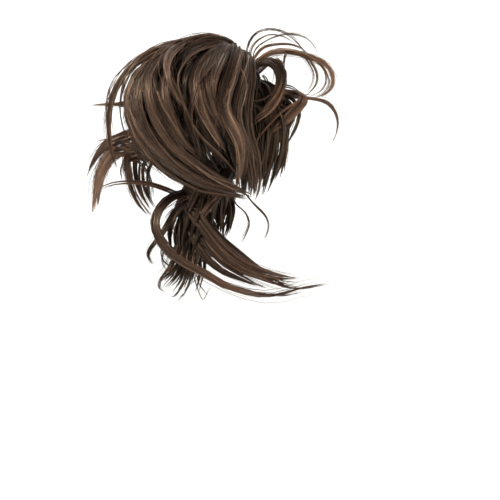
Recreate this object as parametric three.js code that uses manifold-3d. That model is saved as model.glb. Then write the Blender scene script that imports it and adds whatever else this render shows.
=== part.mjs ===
// A clip-on ponytail hairpiece, dressed as a loose, messy knot of short curled locks.
//
// A hidden plastic claw clip grips the wearer's own gathered hair. Three pads of sewn weft are wound round
// the outside of its jaws, and every lock of false hair is rooted in one of them:
//   crown_plume  the big rounded fall behind the head, with flicked-out ends at its back
//   loop_plume   open rings of hair over the crown of the head, and locks that fall beside it
//   nape_plume   a dark loop under the fall, locks that sweep round the nape, and ragged short ends
//
// Millimetres. +Z is up as the piece is worn, +Y the way the wearer faces and +X the wearer's right.
// The origin is where the clip's teeth sit on the back of the head.

import * as THREE from "three";
import { mergeVertices } from "three/addons/utils/BufferGeometryUtils.js";
import Module from "manifold-3d";

const wasm = await Module();
wasm.setup();

// Sizes of the hair.
const HAIR_REACH = 92; // millimetres for one share in the tables below
const LOCK_WIDTH_SCALE = 1; // all locks wider or narrower together
const LOCK_ROOT = 0.6; // a root's width, as a share of its lock's width
const LOCK_OPENS = 0.35; // the share of its length by which a lock has its full width
const LOCK_NARROWS = 0.6; // and the share from which it narrows to its tip

// The side that shows best is seen from the wearer's right and behind, a little from above.
const SHOWN_TURN = 60; // degrees from straight behind, round to the wearer's right
const SHOWN_LIFT = 5; // degrees above the horizon

// Sizes of the claw clip.
const CLIP_LENGTH = 84;
const CLIP_WIDTH = 46;
const CLIP_DEPTH = 34; // teeth tips to spine
const CLIP_WALL = 2.4;
const CLIP_MOUTH = 17; // between the two rows of teeth
const CLIP_TEETH = 6; // in each jaw
const TOOTH_WIDTH = 5;
const TOOTH_LENGTH = 19;
const SPINE_RADIUS = 3.6;
const THUMB_TAB = { length: 30, height: 13, splay: 34 };
const CLIP_LEAN = 32; // degrees that the clip's top leans forward over the head

// Sizes of the sewn pads round the clip.
const PAD_THICKNESS = 8;
const PAD_ENDS = [-0.5, -0.17, 0.19, 0.5]; // nape, crown and loops from the foot up, shares of the clip
const PAD_WRAP = 118; // degrees of the clip's outside that a pad covers, each way from the spine
const ROOT_DEPTH = 0.6; // how deep the locks are sewn into a pad, as a share of its thickness
const SEAT_GAP = 0.35; // between a pad and the clip, or the next pad
const LOCK_GAP = 0.5; // between the locks of one pad and those of the next, where they cross
const ROOT_SPREAD = 22; // the width that a pad's roots are spread over
const CREST_RISE = 12; // how far the top locks rise over the clip's end

// The gathered hair inside the fall, as shares of the hair's reach.
const CORE = { across: -0.53, up: 0.38, near: 0.34, half: [0.46, 0.58, 0.44] }; // shares, X, Z and Y way

// Facets.
const LOCK_SIDES = 4;
const FACET_LENGTH = 26; // millimetres along a lock
const CORE_SIDES = 12;
const CLIP_ARC_STEPS = 14;
const SPINE_SIDES = 12;
const SLIVER = 0.12; // millimetres: a facet thinner than this is merged into the next

const FULL_TURN = 360;
const turn = THREE.MathUtils.degToRad(SHOWN_TURN);
const lift = THREE.MathUtils.degToRad(SHOWN_LIFT);
const ACROSS = new THREE.Vector3(Math.cos(turn), Math.sin(turn), 0);
const NEAR = new THREE.Vector3(
  Math.sin(turn) * Math.cos(lift),
  -Math.cos(turn) * Math.cos(lift),
  Math.sin(lift),
);
const UP = new THREE.Vector3().crossVectors(NEAR, ACROSS);

// A place given in shares (across, up, near) of the hair's reach, as a point of the part.
function place(across, up, near) {
  return new THREE.Vector3()
    .addScaledVector(ACROSS, across * HAIR_REACH)
    .addScaledVector(UP, up * HAIR_REACH)
    .addScaledVector(NEAR, near * HAIR_REACH);
}

// Each row of the lock tables is one lock:
//   path   where it goes after its root, as pairs of shares (across, up)
//   near   how near it comes, in shares: at its root's end, its middle and its tip
//   wide, thick   its section in millimetres
//   tip    its width at the tip, as a share of its full width
//   both   whether its mirror image, a little shorter, also falls on the wearer's left
const FALL_LOCKS = [
  { name: "crown_roots", near: [0.42, 0.45, 0.47], wide: 40, thick: 26, tip: 0.5,
    path: [[-0.27, 0.84], [-0.22, 0.96]] },
  { name: "outer_arch", near: [0.4, 0.5, 0.5], wide: 10, thick: 9, tip: 0.25,
    path: [[-0.34, 1.16], [-0.75, 1.13], [-1.03, 1.02], [-1.24, 0.87], [-1.38, 0.66], [-1.44, 0.42],
      [-1.43, 0.16], [-1.39, -0.04], [-1.31, -0.22]] },
  { name: "edge_curl", near: [0.45, 0.8, 0.6], wide: 12, thick: 8, tip: 0.4,
    path: [[-0.53, 1.11], [-0.88, 1.03], [-1.1, 0.9], [-1.22, 0.73], [-1.26, 0.52], [-1.24, 0.36],
      [-1.18, 0.2], [-1.08, 0.03], [-0.93, -0.12], [-0.77, -0.24], [-0.52, -0.36], [-0.18, -0.41]] },
  { name: "second_curl", near: [0.55, 0.98, 0.68], wide: 15, thick: 7, tip: 0.4,
    path: [[-0.6, 1.08], [-0.92, 0.98], [-1.1, 0.8], [-1.17, 0.56], [-1.12, 0.32], [-0.98, 0.08],
      [-0.78, -0.12], [-0.5, -0.28], [-0.1, -0.38]] },
  { name: "third_curl", near: [0.65, 1.08, 0.85], wide: 14, thick: 7, tip: 0.35,
    path: [[-0.66, 1.06], [-0.92, 0.94], [-1.02, 0.76], [-1.01, 0.54], [-0.93, 0.31], [-0.78, 0.09],
      [-0.58, -0.09], [-0.3, -0.25]] },
  { name: "fourth_curl", near: [0.75, 1.12, 0.98], wide: 13, thick: 6, tip: 0.3,
    path: [[-0.72, 1.0], [-0.87, 0.8], [-0.89, 0.58], [-0.82, 0.36], [-0.69, 0.14], [-0.48, -0.07]] },
  { name: "front_curl", near: [0.7, 1.12, 1.2], wide: 10, thick: 5, tip: 0.25,
    path: [[-0.6, 1.12], [-0.8, 1.06], [-0.86, 0.93], [-0.85, 0.79], [-0.78, 0.63], [-0.69, 0.5],
      [-0.61, 0.4]] },
  { name: "top_sweep", near: [0.45, 0.7, 1.0], wide: 17, thick: 8, tip: 0.35,
    path: [[-0.22, 1.09], [-0.43, 1.16], [-0.61, 1.12], [-0.74, 1.02], [-0.78, 0.9]] },
  { name: "low_top_sweep", near: [0.55, 0.85, 1.1], wide: 12, thick: 6, tip: 0.25,
    path: [[-0.26, 1.09], [-0.48, 1.08], [-0.63, 1.0], [-0.7, 0.88]] },
  { name: "left_fall", near: [0.65, 1.12, 1.0], wide: 14, thick: 6, tip: 0.3,
    path: [[-0.36, 1.08], [-0.5, 0.94], [-0.57, 0.74], [-0.54, 0.52], [-0.45, 0.32], [-0.33, 0.13],
      [-0.23, -0.03]] },
  { name: "tuft_fall", near: [0.65, 1.17, 1.08], wide: 11, thick: 6, tip: 0.3,
    path: [[-0.31, 1.09], [-0.4, 0.94], [-0.46, 0.74], [-0.43, 0.54], [-0.35, 0.34], [-0.24, 0.16]] },
  { name: "short_fall", near: [0.62, 1.14, 1.16], wide: 9, thick: 5, tip: 0.25,
    path: [[-0.24, 1.1], [-0.31, 0.96], [-0.37, 0.78], [-0.39, 0.61], [-0.35, 0.45]] },
  { name: "bright_fall", near: [0.55, 1.04, 0.85], wide: 14, thick: 7, tip: 0.45,
    path: [[-0.14, 1.08], [-0.17, 0.94], [-0.22, 0.76], [-0.28, 0.58], [-0.28, 0.41], [-0.2, 0.27],
      [-0.13, 0.12], [-0.12, -0.1], [-0.17, -0.36]] },
  { name: "right_fall", near: [0.45, 0.88, 0.7], wide: 14, thick: 6, tip: 0.5, both: true,
    path: [[-0.09, 1.05], [-0.07, 0.9], [-0.1, 0.72], [-0.16, 0.54], [-0.17, 0.34], [-0.1, 0.14],
      [-0.04, -0.06], [-0.01, -0.26], [-0.03, -0.45]] },
  { name: "edge_fall", near: [0.4, 0.68, 0.56], wide: 13, thick: 6, tip: 0.5, both: true,
    path: [[-0.04, 1.0], [-0.01, 0.78], [-0.05, 0.5], [-0.04, 0.26], [0.04, 0.02], [0.06, -0.18],
      [0.04, -0.36], [-0.01, -0.47]] },
  { name: "low_streak", near: [0.8, 0.98, 0.76], wide: 10, thick: 5, tip: 0.3,
    path: [[-0.88, 0.21], [-0.64, -0.03], [-0.38, -0.22], [-0.03, -0.4]] },
  { name: "hem_streak", near: [0.85, 0.86, 0.7], wide: 7, thick: 4, tip: 0.3,
    path: [[-0.5, -0.1], [-0.28, -0.27], [0.03, -0.43]] },
  { name: "under_right", near: [0.45, 0.82, 0.62], wide: 30, thick: 9, tip: 0.7,
    path: [[-0.18, 0.86], [-0.19, 0.56], [-0.18, 0.26], [-0.12, -0.06], [-0.1, -0.4]] },
];
const FLICK_LOCKS = [
  { name: "high_flick", near: [0.3, 0.24, 0.15], wide: 13, thick: 11, tip: 0.3,
    path: [[-1.05, 0.27], [-1.2, 0.22], [-1.36, 0.16], [-1.49, 0.07], [-1.6, -0.07], [-1.68, -0.25]] },
  { name: "long_flick", near: [0.35, 0.34, 0.3], wide: 14, thick: 13, tip: 0.5,
    path: [[-1.05, 0.15], [-1.2, 0.11], [-1.37, 0.04], [-1.48, -0.09], [-1.55, -0.26], [-1.58, -0.44],
      [-1.59, -0.62]] },
  { name: "spike", near: [0.3, 0.1, 0.05], wide: 5, thick: 5, tip: 0.25,
    path: [[-1.2, 0.52], [-1.42, 0.52], [-1.63, 0.51]] },
  { name: "tuft", near: [0.2, 0.1, 0.1], wide: 8, thick: 7, tip: 0.4,
    path: [[-1.12, 0.04], [-1.25, -0.02], [-1.31, -0.12], [-1.31, -0.23]] },
  { name: "outer_hook", near: [0.2, 0.12, 0.12], wide: 7, thick: 6, tip: 0.5,
    path: [[-1.14, 0.16], [-1.26, 0.04], [-1.25, -0.14], [-1.22, -0.32], [-1.14, -0.49], [-1.01, -0.63]] },
  { name: "middle_hook", near: [0.2, 0.06, 0.05], wide: 7, thick: 6, tip: 0.5,
    path: [[-1.06, 0.12], [-1.17, -0.02], [-1.18, -0.16], [-1.16, -0.3], [-1.09, -0.46], [-0.97, -0.6]] },
  { name: "inner_hook", near: [0.15, 0.03, 0.02], wide: 6, thick: 5, tip: 0.5,
    path: [[-1.0, 0.06], [-1.1, -0.06], [-1.11, -0.19], [-1.09, -0.32], [-1.03, -0.46], [-0.94, -0.57]] },
  { name: "last_hook", near: [0.12, 0.0, 0.0], wide: 5, thick: 4.5, tip: 0.5,
    path: [[-0.92, 0.02], [-1.03, -0.1], [-1.05, -0.22], [-1.05, -0.34], [-1.0, -0.47], [-0.92, -0.56]] },
];
const LOOP_LOCKS = [
  { name: "gathered_roots", near: [0.09, 0.08, 0.08], wide: 32, thick: 17, tip: 0.5,
    path: [[0.02, 0.78], [0.12, 0.84]] },
  { name: "great_ring", near: [0.15, -0.12, 0.0], wide: 7, thick: 9, tip: 0.4,
    path: [[0.0, 0.9], [0.08, 0.99], [0.21, 1.04], [0.37, 1.045], [0.51, 1.03], [0.63, 0.99],
      [0.74, 0.93], [0.8, 0.84], [0.81, 0.74], [0.76, 0.65], [0.66, 0.6], [0.52, 0.58]] },
  { name: "small_ring", near: [0.16, 0.3, 0.36], wide: 11, thick: 9, tip: 0.5,
    path: [[-0.03, 0.72], [-0.01, 0.83], [0.06, 0.92], [0.17, 0.94], [0.26, 0.87], [0.275, 0.75],
      [0.22, 0.65], [0.1, 0.6]] },
  { name: "bright_drop", near: [0.08, 0.42, 0.62], wide: 10, thick: 6, tip: 0.35,
    path: [[0.22, 0.98], [0.28, 0.9], [0.29, 0.74], [0.24, 0.57], [0.15, 0.44], [0.05, 0.36],
      [-0.05, 0.28]] },
  { name: "hole_curl", near: [0.12, 0.16, 0.2], wide: 12, thick: 8, tip: 0.5,
    path: [[0.08, 0.6], [0.24, 0.65], [0.38, 0.67], [0.47, 0.6], [0.5, 0.54]] },
  { name: "side_drop", near: [0.1, 0.32, 0.52], wide: 14, thick: 6, tip: 0.4, both: true,
    path: [[0.3, 0.63], [0.43, 0.62], [0.5, 0.58], [0.42, 0.47], [0.31, 0.35], [0.2, 0.25],
      [0.12, 0.17]] },
  { name: "temple_drop", near: [0.25, 0.44, 0.42], wide: 8, thick: 5, tip: 0.4,
    path: [[0.17, 0.5], [0.26, 0.35], [0.31, 0.23], [0.32, 0.1], [0.31, -0.05], [0.3, -0.2]] },
  { name: "cap_curl", near: [0.1, 0.2, 0.3], wide: 6, thick: 5, tip: 0.3,
    path: [[0.47, 0.6], [0.62, 0.58], [0.76, 0.53], [0.84, 0.41], [0.85, 0.3], [0.82, 0.18],
      [0.74, 0.08]] },
  { name: "dark_side", near: [0.12, 0.28, 0.38], wide: 26, thick: 7, tip: 0.5,
    path: [[0.2, 0.66], [0.38, 0.57], [0.45, 0.46], [0.38, 0.3], [0.22, 0.14]] },
  { name: "side_cover", near: [0.3, 0.44, 0.48], wide: 27, thick: 7, tip: 0.7, both: true,
    path: [[0.16, 0.6], [0.18, 0.34], [0.14, 0.04], [0.02, -0.32]] },
  { name: "front_cover", near: [0.2, 0.34, 0.4], wide: 24, thick: 6, tip: 0.6, both: true,
    path: [[0.28, 0.5], [0.29, 0.3], [0.25, 0.02], [0.15, -0.26]] },
];
const NAPE_LOCKS = [
  { name: "long_strand", near: [0.2, 0.32, 0.3], wide: 3.6, thick: 3, tip: 0.3,
    path: [[-0.73, -0.37], [-0.88, -0.33], [-1.03, -0.28], [-1.23, -0.26], [-1.43, -0.28], [-1.58, -0.35],
      [-1.7, -0.45]] },
  { name: "dark_loop", near: [0.2, 0.54, 0.5], wide: 11, thick: 10, tip: 0.4,
    path: [[-0.62, -0.36], [-0.74, -0.37], [-0.86, -0.44], [-0.95, -0.55], [-0.98, -0.7], [-0.93, -0.85],
      [-0.83, -0.97], [-0.66, -1.08], [-0.47, -1.18], [-0.26, -1.31], [-0.01, -1.38], [0.21, -1.38]] },
  { name: "nape_sweep", near: [0.28, 0.5, 0.3], wide: 15, thick: 9, tip: 0.5, both: true,
    path: [[-0.66, -0.46], [-0.55, -0.62], [-0.43, -0.76], [-0.29, -0.9], [-0.15, -1.0], [0.01, -1.08],
      [0.17, -1.16], [0.33, -1.21], [0.5, -1.23]] },
  { name: "second_sweep", near: [0.22, 0.4, 0.3], wide: 10, thick: 7, tip: 0.5, both: true,
    path: [[-0.66, -0.6], [-0.58, -0.82], [-0.46, -1.0], [-0.33, -1.12], [-0.17, -1.2], [0.01, -1.28],
      [0.18, -1.34]] },
  { name: "end_sweep", near: [0.26, 0.4, 0.28], wide: 12, thick: 7, tip: 0.4,
    path: [[-0.5, -0.8], [-0.36, -0.98], [-0.15, -1.11], [0.07, -1.2], [0.27, -1.28], [0.5, -1.31]] },
  { name: "bottom_sweep", near: [0.2, 0.34, 0.3], wide: 8, thick: 6, tip: 0.25,
    path: [[-0.7, -0.66], [-0.76, -0.92], [-0.62, -1.12], [-0.45, -1.22], [-0.2, -1.33], [0.05, -1.39],
      [0.27, -1.38], [0.5, -1.31], [0.73, -1.27]] },
  { name: "dark_fall", near: [0.12, 0.24, 0.26], wide: 36, thick: 16, tip: 0.6,
    path: [[-0.6, -0.44], [-0.66, -0.66], [-0.7, -0.88], [-0.68, -1.12]] },
  { name: "inner_fall", near: [0.1, 0.14, 0.14], wide: 28, thick: 11, tip: 0.5, both: true,
    path: [[-0.36, -0.42], [-0.32, -0.58], [-0.3, -0.74], [-0.34, -0.9]] },
  { name: "short_end", near: [0.34, 0.48, 0.48], wide: 10, thick: 5, tip: 0.5,
    path: [[-0.36, -0.38], [-0.42, -0.48], [-0.49, -0.58], [-0.54, -0.67]] },
  { name: "ragged_left", near: [0.2, 0.36, 0.36], wide: 13, thick: 9, tip: 0.5,
    path: [[-0.7, -0.8], [-0.78, -1.05], [-0.85, -1.19], [-0.96, -1.25]] },
  { name: "ragged_lump", near: [0.15, 0.3, 0.3], wide: 14, thick: 8, tip: 0.4,
    path: [[-0.66, -0.8], [-0.74, -1.12], [-0.82, -1.26], [-0.9, -1.38]] },
  { name: "ragged_low", near: [0.2, 0.4, 0.4], wide: 14, thick: 8, tip: 0.4,
    path: [[-0.64, -0.8], [-0.69, -1.14], [-0.75, -1.3], [-0.8, -1.46]] },
  { name: "ragged_middle", near: [0.12, 0.26, 0.22], wide: 12, thick: 7, tip: 0.4,
    path: [[-0.6, -0.84], [-0.6, -1.14], [-0.66, -1.29], [-0.72, -1.4]] },
  { name: "ragged_right", near: [0.12, 0.24, 0.2], wide: 12, thick: 7, tip: 0.4,
    path: [[-0.55, -0.84], [-0.53, -1.12], [-0.57, -1.27], [-0.6, -1.39]] },
  { name: "hook_end", near: [0.2, 0.24, 0.2], wide: 7, thick: 6, tip: 0.5,
    path: [[-0.8, -0.62], [-0.93, -0.82], [-1.01, -0.92], [-1.04, -1.0], [-1.01, -1.07], [-0.95, -1.07]] },
];
const MIRRORED_LENGTH = 0.9;

// Where the locks are rooted in the gathered hair, as shares of its half sizes, and what loose ones go round.
const FALL_ROOT = { across: 0.4, up: 0.45 };
const FLICK_ROOT = { across: -0.3, up: -0.1 };
const CORE_ROOT_SPREAD = 0.3;
const LOOPS_GO_ROUND = [0.2, 0.4, -0.2]; // shares across, up and near
const NAPE_GOES_ROUND = [-0.3, -0.75, -0.2];

// The far side of the fall, which the shown side hides: locks laid over a rounded shell by rule. They start
// at angles round it, turn by the swirl on their way, and pass so many degrees down from the crest.
const FAR_LOCKS = { count: 8, from: 122, to: 262, swirl: 26, down: [20, 52, 86, 118, 142] };
const FAR_SECTION = { wide: 21, thick: 6, tip: 0.35 };
const FAR_ROOT = { across: 0.2, up: 0.4 };
const SHELL = { across: -0.6, up: 0.4, near: 0.36, half: [0.64, 0.76, 0.62] }; // shares, X, Z and Y way

// A closed mesh as a solid that can be cut and joined.
function solidOf(geometry) {
  const bare = geometry.clone();
  bare.deleteAttribute("normal");
  bare.deleteAttribute("uv");
  const merged = mergeVertices(bare, 1e-4);
  return new wasm.Manifold(
    new wasm.Mesh({
      numProp: 3,
      vertProperties: new Float32Array(merged.attributes.position.array),
      triVerts: new Uint32Array(merged.index.array),
    }),
  );
}

// A solid as a geometry again.
function geometryOf(solid) {
  const mesh = solid.getMesh();
  const positions = new Float32Array(mesh.numVert * 3);
  for (let i = 0; i < mesh.numVert; i++) {
    const first = i * mesh.numProp;
    positions.set(mesh.vertProperties.subarray(first, first + 3), i * 3);
  }
  const geometry = new THREE.BufferGeometry();
  geometry.setAttribute("position", new THREE.BufferAttribute(positions, 3));
  geometry.setIndex(new THREE.BufferAttribute(mesh.triVerts, 1));
  geometry.computeVertexNormals();
  return geometry;
}

function join(solids) {
  return solids.reduce((sum, solid) => sum.add(solid));
}

// The largest body of a solid, with the pockets that its locks close off between them filled.
function wholeBody(solid) {
  const bodies = solid.simplify(SLIVER).decompose();
  return bodies.reduce((best, body) => (body.volume() > best.volume() ? body : best));
}

// How much of its full width a lock has at share t of its length: a narrow root, then full, then a tip.
function fullness(t, tip) {
  const opening = THREE.MathUtils.lerp(LOCK_ROOT, 1, THREE.MathUtils.smoothstep(t, 0, LOCK_OPENS));
  const closing = THREE.MathUtils.lerp(1, tip, THREE.MathUtils.smoothstep(t, LOCK_NARROWS, 1));
  return opening * closing;
}

// A lock: a cylinder bent along the curve through its points, flat towards the middle that it goes round.
function lockSolid(points, middle, { wide, thick, tip }, grown = 0) {
  const curve = new THREE.CatmullRomCurve3(points);
  const steps = Math.round(curve.getLength() / FACET_LENGTH);
  const geometry = new THREE.CylinderGeometry(1, 1, 1, LOCK_SIDES, steps);
  const position = geometry.attributes.position;
  for (let i = 0; i < position.count; i++) {
    const t = THREE.MathUtils.clamp(position.getY(i) + 0.5, 0, 1);
    const centre = curve.getPointAt(t);
    const along = curve.getTangentAt(t);
    const outward = centre.clone().sub(middle);
    const side = new THREE.Vector3().crossVectors(along, outward).normalize();
    const face = new THREE.Vector3().crossVectors(side, along);
    const half = (fullness(t, tip) * LOCK_WIDTH_SCALE) / 2;
    centre.addScaledVector(side, position.getX(i) * (half * wide + grown));
    centre.addScaledVector(face, position.getZ(i) * (half * thick + grown));
    position.setXYZ(i, centre.x, centre.y, centre.z);
  }
  return solidOf(geometry);
}

// The places of a row's path, with the nearness of each worked out along the way.
function pathPoints({ path, near: [start, half, end] }) {
  return path.map(([across, up], i) => {
    const t = i / (path.length - 1);
    const bow = half - (start + end) / 2;
    return place(across, up, THREE.MathUtils.lerp(start, end, t) + 4 * bow * t * (1 - t));
  });
}

// A table's locks, each through its path from its place in the row of roots, and the mirror images.
function lockSolids(rows, rootsAt, middle, grown) {
  return rows.flatMap((row, i) => {
    const roots = rootsAt((i + 0.5) / rows.length - 0.5);
    const own = lockSolid([...roots, ...pathPoints(row)], middle, row, grown);
    if (!row.both) return [own];
    const mirror = new THREE.Vector3(-1, 1, 1);
    const shorter = { ...row, path: row.path.map(([across, up]) => [across, up * MIRRORED_LENGTH]) };
    const left = [...roots, ...pathPoints(shorter)].map((point) => point.multiply(mirror));
    return [own, lockSolid(left, middle.clone().multiply(mirror), row, grown)];
  });
}

// The claw clip and the pads are built upright in the clip's own frame and then leant over the head.
const lean = new THREE.Matrix4().makeRotationX(-THREE.MathUtils.degToRad(CLIP_LEAN));
const middleDepth = -CLIP_DEPTH / 2;

function clipPoint(x, y, z) {
  return new THREE.Vector3(x, y, z).applyMatrix4(lean);
}

function leant(geometry) {
  return solidOf(geometry.applyMatrix4(lean));
}

// An ellipse round the clip's middle, grown by so much, between two angles from the head's direction.
function ellipsePoints(grown, from, to, steps = CLIP_ARC_STEPS) {
  return Array.from({ length: steps + 1 }, (_, i) => {
    const angle = THREE.MathUtils.degToRad(from + ((to - from) * i) / steps);
    const x = Math.sin(angle) * (CLIP_WIDTH / 2 + grown);
    const y = middleDepth + Math.cos(angle) * (CLIP_DEPTH / 2 + grown);
    return new THREE.Vector2(x, y);
  });
}

// A part of a curved wall, extruded along the clip from one height to another.
function curvedWall(inner, outer, from, to, low, high) {
  const outline = [...ellipsePoints(outer, from, to), ...ellipsePoints(inner, to, from)];
  const geometry = new THREE.ExtrudeGeometry(new THREE.Shape(outline), {
    depth: high - low,
    bevelEnabled: false,
  });
  return leant(geometry.translate(0, 0, low));
}

function thumbTab(side, grown) {
  const { length, height, splay } = THUMB_TAB;
  const tab = new THREE.BoxGeometry(CLIP_WALL + 2 * grown, height + 2 * grown, length + 2 * grown);
  tab.translate(0, -height / 2, 0);
  tab.rotateZ(side * THREE.MathUtils.degToRad(splay));
  tab.translate(0, -CLIP_DEPTH + SPINE_RADIUS / 2, 0);
  return leant(tab);
}

function spine(grown) {
  const radius = SPINE_RADIUS + grown;
  const rod = new THREE.CylinderGeometry(radius, radius, CLIP_LENGTH + 2 * grown, SPINE_SIDES);
  rod.rotateX(Math.PI / 2);
  rod.translate(0, -CLIP_DEPTH, 0);
  return leant(rod);
}

// One plain piece: two curved jaws in one wall, cut into teeth on the head's side, a spine and thumb tabs.
function makeClip() {
  const mouth = THREE.MathUtils.radToDeg(Math.asin(CLIP_MOUTH / CLIP_WIDTH));
  const jaws = curvedWall(-CLIP_WALL, 0, mouth, FULL_TURN - mouth, -CLIP_LENGTH / 2, CLIP_LENGTH / 2);
  const pitch = (CLIP_LENGTH - TOOTH_WIDTH) / (CLIP_TEETH - 1);
  const slots = Array.from({ length: CLIP_TEETH - 1 }, (_, i) => {
    const slot = new THREE.BoxGeometry(2 * CLIP_WIDTH, 2 * TOOTH_LENGTH, pitch - TOOTH_WIDTH);
    slot.translate(0, 0, (i - (CLIP_TEETH - 2) / 2) * pitch);
    return leant(slot);
  });
  const body = join([jaws, spine(0), thumbTab(1, 0), thumbTab(-1, 0)]);
  return body.subtract(join(slots));
}

// The room that the clip takes, with the seat gap round it: what hair and pads are cut back from.
function clipRoom() {
  const outline = ellipsePoints(SEAT_GAP, 0, FULL_TURN, 2 * CLIP_ARC_STEPS).slice(1);
  const filled = new THREE.ExtrudeGeometry(new THREE.Shape(outline), {
    depth: CLIP_LENGTH + 2 * SEAT_GAP,
    bevelEnabled: false,
  });
  filled.translate(0, 0, -CLIP_LENGTH / 2 - SEAT_GAP);
  return join([leant(filled), spine(SEAT_GAP), thumbTab(1, SEAT_GAP), thumbTab(-1, SEAT_GAP)]);
}

// Three pads share the clip's length.
const padHeights = PAD_ENDS.map((share) => share * CLIP_LENGTH);

function pad(index, grown) {
  const low = padHeights[index] + SEAT_GAP / 2 - grown;
  const high = padHeights[index + 1] - SEAT_GAP / 2 + grown;
  const from = 180 - PAD_WRAP - grown;
  return curvedWall(SEAT_GAP - grown / 2, PAD_THICKNESS + grown, from, FULL_TURN - from, low, high);
}

// Where a lock of a pad starts, in the pad's outer layer, and how high it stands along the clip.
function padRoot(spread, height) {
  return clipPoint(spread * ROOT_SPREAD, -CLIP_DEPTH - PAD_THICKNESS * ROOT_DEPTH, height);
}

function padMiddle(index) {
  return (padHeights[index] + padHeights[index + 1]) / 2;
}

function ellipsoid({ across, up, near, half }, grown) {
  const ball = new THREE.SphereGeometry(1, CORE_SIDES, CORE_SIDES / 2);
  ball.scale(half[0] * HAIR_REACH + grown, half[2] * HAIR_REACH + grown, half[1] * HAIR_REACH + grown);
  ball.rotateX(Math.PI);
  const centre = place(across, up, near);
  return solidOf(ball.translate(centre.x, centre.y, centre.z));
}

// A lock on the far side, laid down the shell from the crest at an angle round it.
function farLock(angle, grown) {
  const { half } = SHELL;
  const centre = place(SHELL.across, SHELL.up, SHELL.near);
  const points = FAR_LOCKS.down.map((down, i) => {
    const round = THREE.MathUtils.degToRad(angle + (FAR_LOCKS.swirl * i) / FAR_LOCKS.down.length);
    const polar = THREE.MathUtils.degToRad(down);
    return new THREE.Vector3(
      half[0] * HAIR_REACH * Math.sin(polar) * Math.cos(round),
      half[2] * HAIR_REACH * Math.sin(polar) * Math.sin(round),
      half[1] * HAIR_REACH * Math.cos(polar),
    ).add(centre);
  });
  return lockSolid([coreRoot(FAR_ROOT), ...points], centre, FAR_SECTION, grown);
}

// A root inside the gathered core, off its middle by shares of the core's half sizes.
function coreRoot({ across, up }, spread = 0) {
  const along = across + spread * CORE_ROOT_SPREAD;
  return place(CORE.across + along * CORE.half[0], CORE.up + up * CORE.half[1], CORE.near);
}

// The locks of each plume, fused to its pad. A grown copy is what the next plume is cut back from.
function crownLocks(grown) {
  const centre = place(CORE.across, CORE.up, CORE.near);
  const span = FAR_LOCKS.to - FAR_LOCKS.from;
  const far = Array.from({ length: FAR_LOCKS.count }, (_, i) =>
    farLock(FAR_LOCKS.from + (span * i) / (FAR_LOCKS.count - 1), grown),
  );
  const falls = lockSolids(FALL_LOCKS, (spread) => [coreRoot(FALL_ROOT, spread)], centre, grown);
  const flicks = lockSolids(FLICK_LOCKS, (spread) => [coreRoot(FLICK_ROOT, spread)], centre, grown);
  return join([pad(1, grown), ellipsoid(CORE, grown), ...falls, ...flicks, ...far]);
}

// The loops leave the top pad over the end of the clip, before they turn forwards.
function loopLocks(grown) {
  const rootsAt = (spread) => [padRoot(spread, padMiddle(2)), padRoot(spread, CLIP_LENGTH / 2 + CREST_RISE)];
  return join([pad(2, grown), ...lockSolids(LOOP_LOCKS, rootsAt, place(...LOOPS_GO_ROUND), grown)]);
}

function napeLocks(grown) {
  const rootsAt = (spread) => [padRoot(spread, padMiddle(0))];
  return join([pad(0, grown), ...lockSolids(NAPE_LOCKS, rootsAt, place(...NAPE_GOES_ROUND), grown)]);
}

const hairBrown = new THREE.MeshStandardMaterial({ color: "#4a352a", roughness: 0.42 });
const hairLight = new THREE.MeshStandardMaterial({ color: "#6b4d3a", roughness: 0.4 });
const hairDark = new THREE.MeshStandardMaterial({ color: "#33261f", roughness: 0.45 });
const clipPlastic = new THREE.MeshStandardMaterial({ color: "#1d1613", roughness: 0.3 });

function piece(name, solid, material) {
  const mesh = new THREE.Mesh(geometryOf(solid), material);
  mesh.name = name;
  return mesh;
}

const room = clipRoom();
const crown = wholeBody(crownLocks(0).subtract(join([room, pad(0, SEAT_GAP), pad(2, SEAT_GAP)])));
const roomForLoops = join([room, crownLocks(LOCK_GAP), pad(0, SEAT_GAP)]);
const loops = wholeBody(loopLocks(0).subtract(roomForLoops));
const nape = wholeBody(napeLocks(0).subtract(join([room, crownLocks(LOCK_GAP), loopLocks(LOCK_GAP)])));

const hairpiece = new THREE.Group();
hairpiece.add(
  piece("claw_clip", makeClip(), clipPlastic),
  piece("crown_plume", crown, hairBrown),
  piece("loop_plume", loops, hairLight),
  piece("nape_plume", nape, hairDark),
);

export default hairpiece;
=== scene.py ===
import math

import bpy
import numpy as np
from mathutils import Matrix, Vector


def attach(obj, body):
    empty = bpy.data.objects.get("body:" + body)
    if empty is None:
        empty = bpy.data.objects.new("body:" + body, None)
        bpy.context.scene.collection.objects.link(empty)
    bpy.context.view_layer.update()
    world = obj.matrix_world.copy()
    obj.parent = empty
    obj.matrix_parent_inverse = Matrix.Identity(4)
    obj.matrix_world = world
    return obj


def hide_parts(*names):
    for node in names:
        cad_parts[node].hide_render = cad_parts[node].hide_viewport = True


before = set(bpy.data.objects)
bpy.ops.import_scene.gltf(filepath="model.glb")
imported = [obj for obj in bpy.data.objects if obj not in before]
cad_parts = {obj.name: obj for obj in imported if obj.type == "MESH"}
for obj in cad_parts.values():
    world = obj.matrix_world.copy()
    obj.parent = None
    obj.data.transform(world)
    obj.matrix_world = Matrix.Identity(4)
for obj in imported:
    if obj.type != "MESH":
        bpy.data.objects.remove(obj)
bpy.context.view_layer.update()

# Falling locks of the crown
# The big rounded fall behind the head: curled locks of modacrylic fibre, sewn in a row to the clip's middle
# pad, that rise, fold over and tuck back in. Each lock is a few pointed clumps with loose fibres over them.

SHARE = 0.092  # metres in one share of the tables below
TURN = math.radians(60)  # the shown side, from straight behind round to the wearer's right
LIFT = math.radians(5)  # how far the shown side tips upwards

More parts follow.
